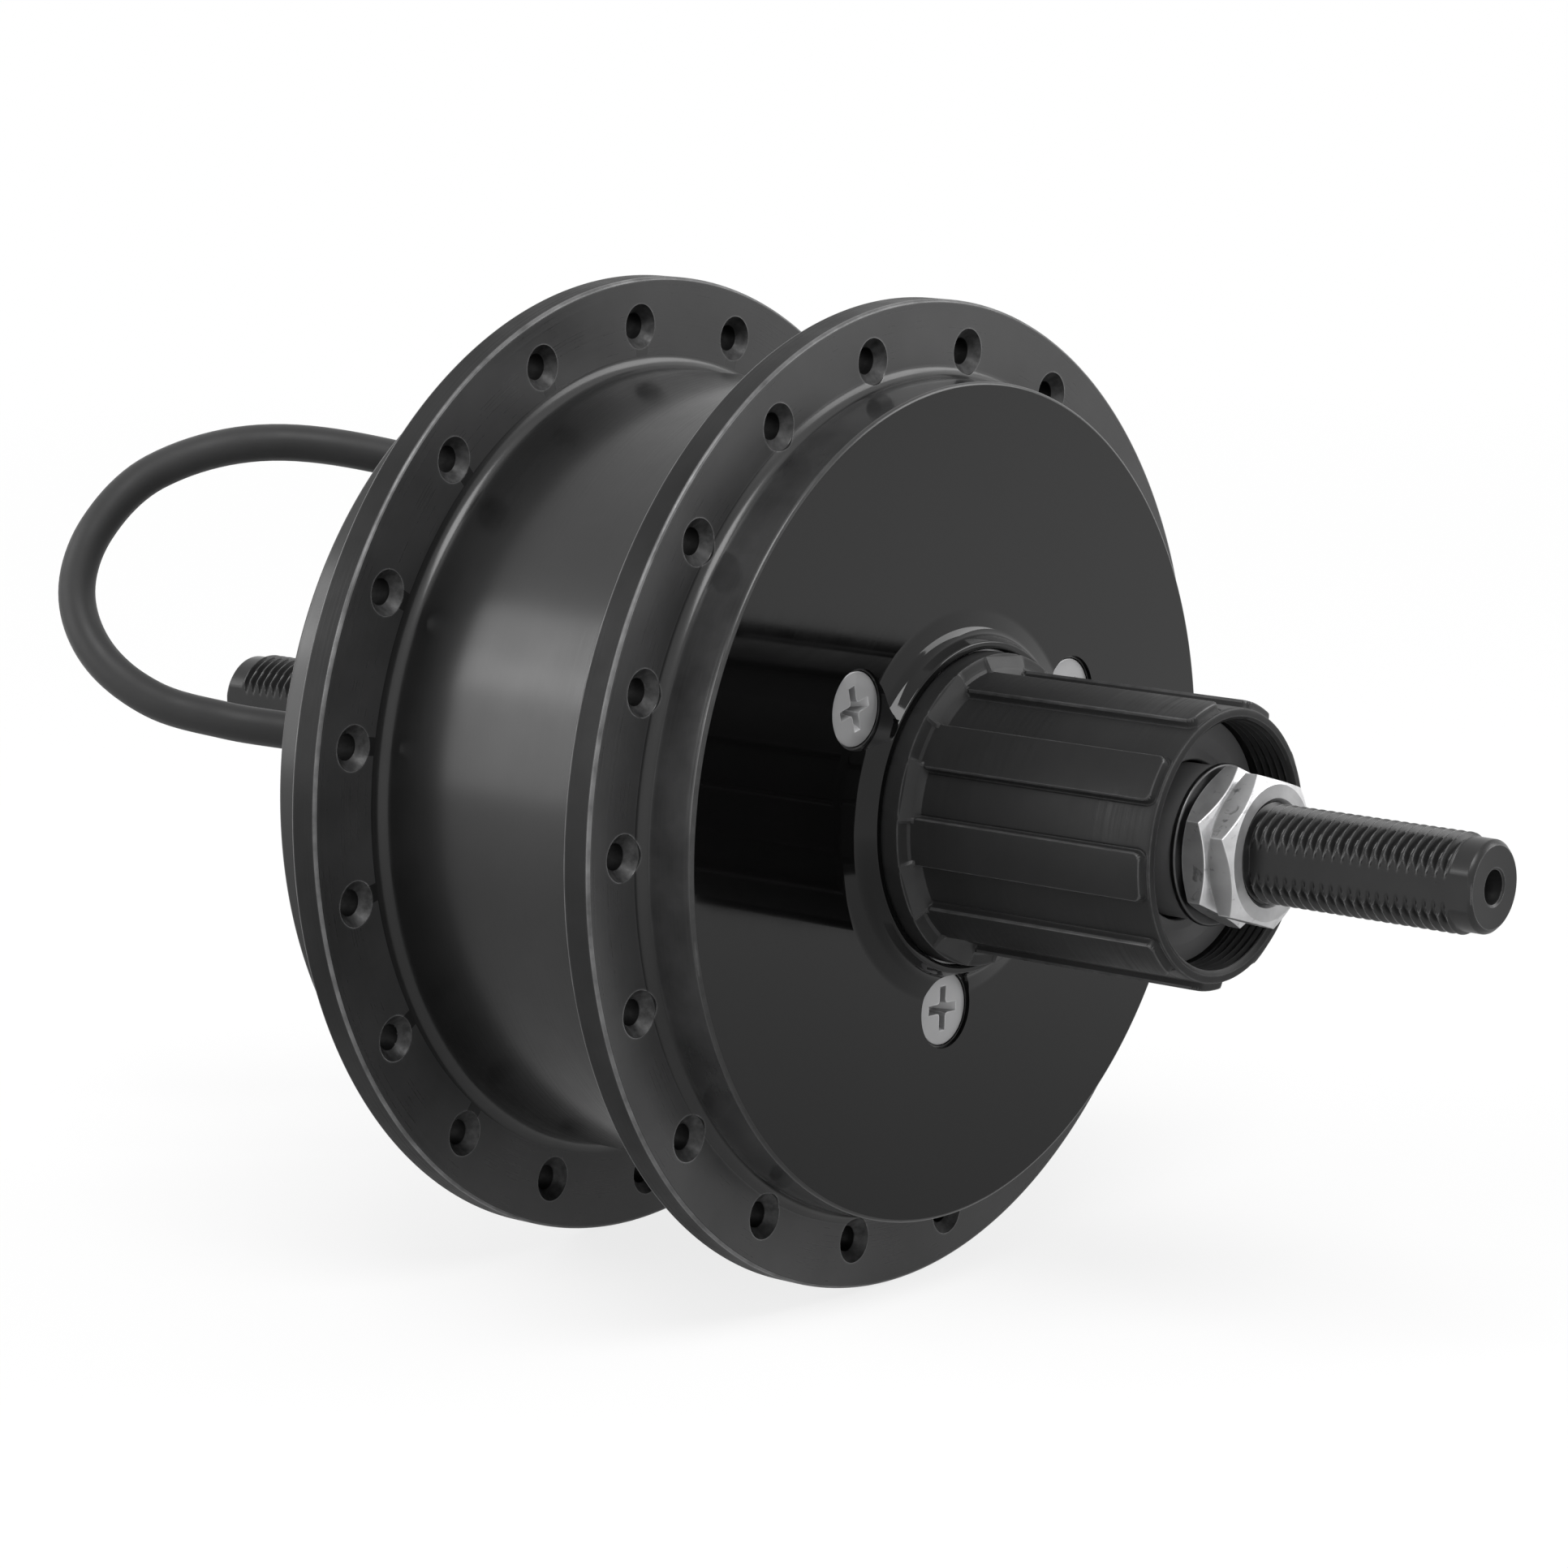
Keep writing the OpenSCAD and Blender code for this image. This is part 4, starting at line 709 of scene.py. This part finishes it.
def seats(z, circle, first, turns, flip=Matrix()):
    """Places evenly round a circle, each with its own turn."""
    step = 360 / len(turns)
    return [LAY @ Matrix.Translation((0, 0, z)) @ Matrix.Rotation(math.radians(first + step * k), 4, "Z")
            @ Matrix.Translation((circle, 0, 0)) @ Matrix.Rotation(math.radians(turn), 4, "Z") @ flip
            for k, turn in enumerate(turns)]


drive_places = seats(Z_DRIVE_HEAD, DRIVE_CIRCLE, DRIVE_FIRST, (12, 48, 3))
drive_set = screws("drive_screw_set", DRIVE_HEAD_R, DRIVE_SCREW_R, 8.0, drive_places)
dress(drive_set, "shell", "zinc", "drive_screws", material="zinc_matt")

cover_places = seats(Z_COVER, COVER_CIRCLE, 0, [37 * k for k in range(8)],
                     Matrix.Rotation(math.radians(180), 4, "X"))
cover_set = screws("cover_screw_set", COVER_HEAD_R, COVER_SCREW_R, 9.5, cover_places)
dress(cover_set, "shell", "zinc", "cover_screws", material="zinc_matt")


# ---------------------------------------------------------------- axle

PITCH = 1.25
CREST = 5.93
ROOT = 5.2
TIP_R = 5.5
FLAT = 5.0
AXLE_COLUMNS = 120


def thread_r(z, a, z_thread):
    phase = (z / PITCH + a / 360) % 1.0
    away = abs(phase - 0.5) * 2
    high = min(1.0, max(0.0, (away - 0.22) / 0.66))
    return min(ROOT + (CREST - ROOT) * high, TIP_R + 0.05 + max(0.0, z_thread - abs(z)) * 0.9)


def axle_row(z, radius=None, flat=False):
    """One ring of the axle: a plain radius, or the thread where none is given, cut by the two flats."""
    ring = []
    for k in range(AXLE_COLUMNS):
        a = 360 * k / AXLE_COLUMNS
        r = radius if radius is not None else thread_r(z, a, Z_END - 3)
        if flat and abs(r * math.cos(math.radians(a))) > FLAT:
            # The point slides straight in to the flat and keeps its y
            x, y = math.copysign(FLAT, math.cos(math.radians(a))), r * math.sin(math.radians(a))
            ring.append(((x * x + y * y) ** 0.5, z, math.degrees(math.atan2(y, x))))
        else:
            ring.append((r, z, a))
    return ring


def axle_end(sign):
    """The rings of one threaded end, from its tip inwards, with z counted from the middle."""
    rows = [axle_row(Z_END - 5.4, 0.0), axle_row(Z_END - 5, 1.2), axle_row(Z_END - 2.4, 1.2)]
    rows += [axle_row(Z_END - 1.2, 2.0), axle_row(Z_END - 0.2, 2.05), axle_row(Z_END, 2.3)]
    rows += [axle_row(Z_END, TIP_R - 0.62, True), axle_row(Z_END - 0.12, TIP_R - 0.45, True)]
    rows += [axle_row(Z_END - 0.55, TIP_R - 0.05, True), axle_row(Z_END - 0.7, TIP_R, True)]
    z = Z_END - 2.9
    rows.append(axle_row(z, TIP_R, True))
    while z > Z_DROP + 0.2:
        z -= PITCH / 10
        rows.append(axle_row(z, None, True))
    rows.append(axle_row(Z_DROP + 0.01, None, True))
    rows.append(axle_row(Z_DROP, None, False))
    return rows if sign > 0 else [[(r, -z, -a) for r, z, a in ring] for ring in rows]


def axle():
    rows = axle_end(1)
    rows += [axle_row(z, 6.0) for z in (Z_DROP - 0.3, 2.36)]
    rows += [axle_row(2.36, 6.5), axle_row(-12.94, 6.5), axle_row(-12.94, 7.5), axle_row(-27.94, 7.5)]
    rows += [axle_row(-27.94, 10.0), axle_row(0.3 - Z_DROP, 10.0), axle_row(-Z_DROP, 9.7)]
    lower = axle_end(-1)[::-1]
    # The mirrored end counts its columns the other way round
    lower = [[ring[-k % AXLE_COLUMNS] for k in range(AXLE_COLUMNS)] for ring in lower]
    rows += lower
    verts, faces, index = [], [], []
    for ring in rows:
        if ring[0][0] < 1e-6:
            index.append([len(verts)] * AXLE_COLUMNS)
            verts.append((0, 0, ring[0][1]))
            continue
        index.append(list(range(len(verts), len(verts) + AXLE_COLUMNS)))
        verts += [(*polar(r, a), z) for r, z, a in ring]
    for low, high in zip(index, index[1:]):
        for k in range(AXLE_COLUMNS):
            n = (k + 1) % AXLE_COLUMNS
            face = [low[k], low[n], high[n], high[k]]
            face = [v for j, v in enumerate(face) if v != face[j - 1]]
            faces.append(face)
    return place(new_object("axle_threaded", verts, faces), LAY)


axle_piece = axle()
outlet_tool = prism("tool", [polar(3.4, 7.5 * k) for k in range(48)], GROMMET_SEAT, 40, OUTLET)
bore_tool = prism("tool", [polar(2.5, 7.5 * k) for k in range(48)], -2.1, GROMMET_SEAT + 0.5, OUTLET)
key_tool = prism("tool", [(8, -2), (12, -2), (12, 2), (8, 2)], -36.0, -30.0)
carve(axle_piece, [outlet_tool, bore_tool, key_tool], "EXACT")
dress(shade(axle_piece, 35), "axle", "axle_black", "axle")


# ---------------------------------------------------------------- nuts, washer and spacer

BORE_R = 6.02


# The sides keep plain zinc; the chamfer cones get a paler copy as a painted highlight and the flat faces a
# paler copy as painted light
def nut_finish(face):
    flat = abs(face.normal.y)
    return "zinc" if flat < 0.2 else "zinc_face_painted_light" if flat > 0.95 else "zinc_chamfer_painted_highlight"


def nut(name, z0, turn, node):
    """A hexagon nut, chamfered on both faces, as rings from the bore outwards and back."""
    af, high, face_r = 17.0, 3.6, 8.2
    z1 = z0 + high
    steps = 20
    rows = []
    columns = [60 * k / steps for k in range(6 * steps)]

    def side(a):
        return af / 2 / math.cos(math.radians((a % 60) - 30))

    def fall(r):
        return max(0.0, r - face_r) * math.tan(math.radians(30))

    for z, way in ((z0, 1), (z1, -1)):
        face = [[(BORE_R, z + way * 0.55)] * len(columns), [(BORE_R + 0.5, z)] * len(columns)]
        face.append([(face_r - 0.05, z)] * len(columns))
        face.append([(face_r + 0.12, z + way * fall(face_r + 0.18))] * len(columns))
        face.append([(side(a) - 0.1, z + way * fall(side(a) - 0.06)) for a in columns])
        face.append([(side(a), z + way * (fall(side(a)) + 0.08)) for a in columns])
        rows.append(face)
    rings = rows[0] + rows[1][::-1]
    obj = place(swept(name, rings, columns, True), LAY @ Matrix.Rotation(math.radians(turn), 4, "Z"))
    dress(shade(obj, 20), "axle", "zinc", node)
    finish_faces(obj, ("zinc", "zinc_chamfer_painted_highlight", "zinc_face_painted_light"), nut_finish)


nut("nut_inner", 60.2, 33, "inner_nut")
nut("nut_outer", 63.9, 42, "outer_nut")

washer = turned("washer_ring", rounded([
    (BORE_R, 59.4, 0.1), (9.7, 59.4, 0.25), (9.7, 60.2, 0.3), (BORE_R, 60.2, 0.1)]), segs=144)
dress(shade(washer), "axle", "dark_steel", "washer")

spacer = turned("spacer_turned", rounded([
    (BORE_R, 59.38, 0), (9.2, 59.38, 0.3), (9.2, 53.0, 0.2), (8.2, 52.2, 0), (8.2, 50.0, 0),
    (BORE_R, 50.0, 0)]), segs=144)
# The black plastic spacer takes the lighter grey: painted light where it sits in shade
dress(shade(spacer), "axle", "black_plastic", "outer_spacer", material="grey_rubber")


# ---------------------------------------------------------------- freehub

RIDGES = 9
RIDGE_FIRST = 23.4
RIDGE_HALF = 10.0
GROOVE_R = 16.45
SPLINE_R = 17.4
RING_R = 19.2
Z_RING0 = 23.96
Z_RING1 = 26.96
MOUTH_R = 15.1
BEVEL = 0.4
Z_FLOOR = 54.5


def ridge_height(offset, z):
    """Height of the ridge over the groove at an angle from its middle: a bar with rounded corners."""
    corner = 1.0
    half_l = 25.0
    arc = math.radians(offset) * SPLINE_R
    x = abs(arc) - (math.radians(RIDGE_HALF) * SPLINE_R - corner)
    y = abs(z - (Z_MOUTH - 0.8 - half_l)) - (half_l - corner)
    away = math.hypot(max(x, 0), max(y, 0)) + min(max(x, y), 0) - corner
    t = min(1.0, max(0.0, 0.5 - away / 0.34))
    foot = 0.10 * math.exp(-((away - 0.27) / 0.14) ** 2)
    return (SPLINE_R - GROOVE_R) * t * t * (3 - 2 * t) - foot


def shoulder(offset, z):
    """Radius of the shoulder beside the ring: a flat facet in each groove and a short cone at each ridge."""
    from_groove = 180 / RIDGES - abs(offset)
    down = z - Z_RING1
    facet = (18.85 - down * 2.1) / math.cos(math.radians(from_groove))
    cone = 18.95 - down * 3.6
    return min(RING_R, facet if from_groove < 11.6 else cone)


half_steps = [0, 3, 6, 7.6, 8.6, 9.1, 9.4, 9.65, 9.9, 10.15, 10.4, 10.65, 10.9, 11.2, 11.5, 11.7, 12.3, 13.5,
              16.5]
offsets = [-20.0] + [-s for s in half_steps[:0:-1]] + half_steps
columns = [(RIDGE_FIRST + 40 * k + o, o) for k in range(RIDGES) for o in offsets]
freehub_z = [Z_RING1 + 0.02 * k * k for k in range(0, 14)]
freehub_z += [31.5, 36, 42, 48, 54, 57, 58.6]
freehub_z += [59.3 + 0.085 * k for k in range(15)] + [60.6, 60.75]
outer = []
for z in freehub_z:
    outer.append([(max(GROOVE_R + ridge_height(o, z), shoulder(o, z)), z) for a, o in columns])
rings = [(15.1, Z_RING0), (RING_R - 0.25, Z_RING0), (RING_R - 0.07, Z_RING0 + 0.07), (RING_R, Z_RING0 + 0.25)]
rings += [(RING_R, Z_RING1 - 0.25), (RING_R - 0.02, Z_RING1 - 0.1)]
rings += outer + [(GROOVE_R, Z_MOUTH - BEVEL), (GROOVE_R - 0.12, Z_MOUTH - 0.12), (GROOVE_R - BEVEL, Z_MOUTH)]
rings += [(MOUTH_R + 0.35, Z_MOUTH), (MOUTH_R, Z_MOUTH - 0.35)]
z = Z_MOUTH - 0.45
while z > 55.9:
    rings.append([(MOUTH_R - 0.30 * (1 - abs(((z + a / 360) % 1.0) - 0.5) * 2), z) for a, o in columns])
    z -= 0.125
rings += [(MOUTH_R, z), (MOUTH_R, Z_FLOOR), (13.5, Z_FLOOR), (13.5, 52.0), (12.0, 52.0), (12.0, Z_RING1),
          (9.5, Z_RING1), (9.5, 18.56), (15.1, 18.56)]
freehub = place(swept("freehub_splined", rings, [a for a, o in columns], True), LAY)


def arc_points(r, a0, a1, n=6):
    return [polar(r, a0 + (a1 - a0) * k / n) for k in range(n + 1)]


pocket = arc_points(15.65, -0.6, 24.6) + [polar(13.8, 24.6), polar(12.55, 8.4), polar(12.55, -0.6)]
pockets = copies(prism("tool", pocket, 19.16, 23.36, Matrix()),
                 [LAY @ Matrix.Rotation(math.radians(120 * k), 4, "Z") for k in range(3)])
carve(freehub, pockets, "EXACT")
dress(shade(freehub, 26), "freehub", "freehub_black", "freehub_body")


# Shoulder facets and ridge flanks take the paler copies: painted highlights
def freehub_finish(face):
    z, r, flat = where(face)
    if Z_RING1 + 0.02 < z < Z_RING1 + 1.3 and 0.25 < flat < 0.95:
        return "freehub_facet_painted_highlight"
    if Z_RING1 + 1.3 < z < Z_MOUTH and 17.12 < r < SPLINE_R - 0.02:
        return "freehub_ridge_painted_highlight"
    return "freehub_black"


finish_faces(freehub, ("freehub_black", "freehub_facet_painted_highlight", "freehub_ridge_painted_highlight"), freehub_finish)

seal = turned("seal_lip", rounded([(9.5, 54.52, 0), (14.85, 54.52, 0), (14.85, 55.4, 0.2), (12.6, 55.3, 0.6),
                                   (10.8, 55.0, 0.5), (9.6, 55.4, 0.2)]), segs=144)
# The seal lip is painted lighter than its rubber: painted light in the shaded mouth
dress(shade(seal), "freehub", "grey_rubber", "freehub_seal")


# ---------------------------------------------------------------- CAD nodes that stay

NODE_SLOTS = {
    "stator_core": "lamination", "windings": "copper", "stator_carrier": "cast_aluminium",
    "stator_key": "plain_steel", "hall_board": "board", "clutch_cam": "plain_steel",
    "clutch_rollers": "bearing_steel", "planet_carrier": "plain_steel", "planet_pins": "bearing_steel",
    "pin_clips": "plain_steel", "axle_sleeves": "plain_steel", "inner_races": "bearing_steel",
    "plug_pins": "brass", "cover_oring": "black_rubber", "ring_gear": "plain_steel",
    "ratchet_cup": "plain_steel", "shell_bearing_drive": "bearing_steel",
    "shell_bearing_cable": "bearing_steel", "cable_seal": "black_rubber", "rotor_bell": "plain_steel",
    "magnets": "nickel", "sun_gear": "plain_steel", "rotor_bearings": "bearing_steel",
    "planet_1": "nylon", "planet_2": "nylon", "planet_3": "nylon", "planet_bush_1": "brass",
    "planet_bush_2": "brass", "planet_bush_3": "brass", "pawls": "plain_steel",
    "pawl_spring": "bearing_steel", "freehub_bearings": "bearing_steel", "freehub_spacer": "plain_steel",
}
for node, slot_name in NODE_SLOTS.items():
    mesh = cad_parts[node].data
    mesh.materials.clear()
    mesh.materials.append(MATERIALS[slot_name])


# ---------------------------------------------------------------- floor, card and lights

FLOOR_Z = -0.0613
FLOOR_HALF = 12.0
# The camera sees a mix of plain white and the lit floor: this share is white by the hub, and all of it
# farther out, so that only a soft shadow is left
NEAR_WHITE = 0.8
# Mirror rays see white too, with a painted shadow close under the hub that makes it darker by this much
FOOT_PAINTED_SHADOW = 0.45

floor_mesh = bpy.data.meshes.new("floor")
floor_corners = [(FLOOR_HALF * x, FLOOR_HALF * y, FLOOR_Z) for x, y in ((-1, -1), (1, -1), (1, 1), (-1, 1))]
floor_mesh.from_pydata(floor_corners, [], [[0, 1, 2, 3]])
floor = bpy.data.objects.new("floor", floor_mesh)
scene.collection.objects.link(floor)

t = Tree("floor")
t.shader.inputs["Base Color"].default_value = (0.86, 0.86, 0.86, 1)
t.shader.inputs["Specular IOR Level"].default_value = 0.1
light_path = t.nodes.new("ShaderNodeLightPath")
mirrored = t.math("MAXIMUM", light_path.outputs["Is Glossy Ray"], light_path.outputs["Is Transmission Ray"])
away = t.nodes.new("ShaderNodeVectorMath")
away.operation = "LENGTH"
t.link(t.place(), away.inputs[0])
bright = t.ramp(away.outputs["Value"], 0.25, 0.9, NEAR_WHITE, 1.0)
seen = t.math("MAXIMUM", mirrored, t.math("MULTIPLY", light_path.outputs["Is Camera Ray"], bright))
white = t.nodes.new("ShaderNodeEmission")
white.inputs["Color"].default_value = (1, 1, 1, 1)
# Painted shadow on the floor as mirror rays see it, darkest close under the hub
painted_foot_shadow = t.ramp(away.outputs["Value"], 0.06, 0.32, -FOOT_PAINTED_SHADOW, 0.0)
t.link(t.math("MULTIPLY_ADD", mirrored, painted_foot_shadow, 1.0), white.inputs["Strength"])
floor_mix = t.nodes.new("ShaderNodeMixShader")
t.link(seen, floor_mix.inputs[0])
t.link(t.shader.outputs[0], floor_mix.inputs[1])
t.link(white.outputs[0], floor_mix.inputs[2])
t.link(floor_mix.outputs[0], t.nodes["Material Output"].inputs["Surface"])
t.link(t.ramp(t.noise(3.0, 3.0), 0.3, 0.7, 0.88, 0.94), t.shader.inputs["Roughness"])
floor_mesh.materials.append(t.material)

world = bpy.data.worlds.new("studio")
scene.world = world
world.use_nodes = True
nodes, links = world.node_tree.nodes, world.node_tree.links
nodes.clear()
out = nodes.new("ShaderNodeOutputWorld")
backdrop = nodes.new("ShaderNodeBackground")
backdrop.inputs["Color"].default_value = (1, 1, 1, 1)
backdrop.inputs["Strength"].default_value = 1.0
room = nodes.new("ShaderNodeBackground")
room.inputs["Color"].default_value = (1, 1, 1, 1)
room.inputs["Strength"].default_value = 0.5
chosen = nodes.new("ShaderNodeMixShader")
path = nodes.new("ShaderNodeLightPath")
bare = nodes.new("ShaderNodeMath")
bare.operation = "MAXIMUM"
links.new(path.outputs["Is Camera Ray"], bare.inputs[0])
links.new(path.outputs["Is Glossy Ray"], bare.inputs[1])
clear = nodes.new("ShaderNodeMath")
clear.operation = "MAXIMUM"
links.new(bare.outputs[0], clear.inputs[0])
links.new(path.outputs["Is Transmission Ray"], clear.inputs[1])
links.new(clear.outputs[0], chosen.inputs[0])
links.new(room.outputs[0], chosen.inputs[1])
links.new(backdrop.outputs[0], chosen.inputs[2])
links.new(chosen.outputs[0], out.inputs[0])


def softbox(name, at, to, size, power):
    data = bpy.data.lights.new(name, "AREA")
    data.shape = "RECTANGLE"
    data.size, data.size_y = size
    data.energy = power
    obj = bpy.data.objects.new(name, data)
    scene.collection.objects.link(obj)
    obj.location = at
    obj.rotation_euler = (Vector(to) - Vector(at)).to_track_quat("-Z", "Y").to_euler()
    return obj


softbox("key", (-0.7, -0.7, 1.7), (0, 0, 0), (1.2, 0.9), 26)
softbox("back_left", (-1.05, 1.0, 0.78), (0, 0, 0), (1.3, 0.5), 7)
softbox("left_wall", (-1.35, 0.95, 0.30), (0, 0, 0.05), (1.3, 1.0), 8)
softbox("right", (1.3, -1.0, 0.8), (0, 0, 0), (0.9, 0.9), 10)

# A black card that only mirror rays see, at the place where these picture points on the disc mirror it
FOCAL = LENS / SENSOR * IMAGE
CARD_AWAY = 0.2
CARD_PIXELS = ((870, 758), (1190, 803), (1190, 1163), (870, 1117))
turn = camera.rotation_euler.to_matrix()
corners = []
for u, v in CARD_PIXELS:
    ray = (turn @ Vector((u - IMAGE / 2, IMAGE / 2 - v, -FOCAL))).normalized()
    hit = CAMERA_AT + ray * ((-Z_DISC * MM - CAMERA_AT.y) / ray.y)
    corners.append(hit + Vector((ray.x, -ray.y, ray.z)) * CARD_AWAY)
card_mesh = bpy.data.meshes.new("black_card")
card_mesh.from_pydata(corners, [], [[0, 1, 2, 3]])
card = bpy.data.objects.new("black_card", card_mesh)
scene.collection.objects.link(card)
card.visible_camera = False
card.visible_diffuse = False
card.visible_transmission = False
card.visible_shadow = False
t = Tree("black_card")
t.shader.inputs["Base Color"].default_value = (0.002, 0.002, 0.002, 1)
t.shader.inputs["Specular IOR Level"].default_value = 0.0
card_mesh.materials.append(t.material)
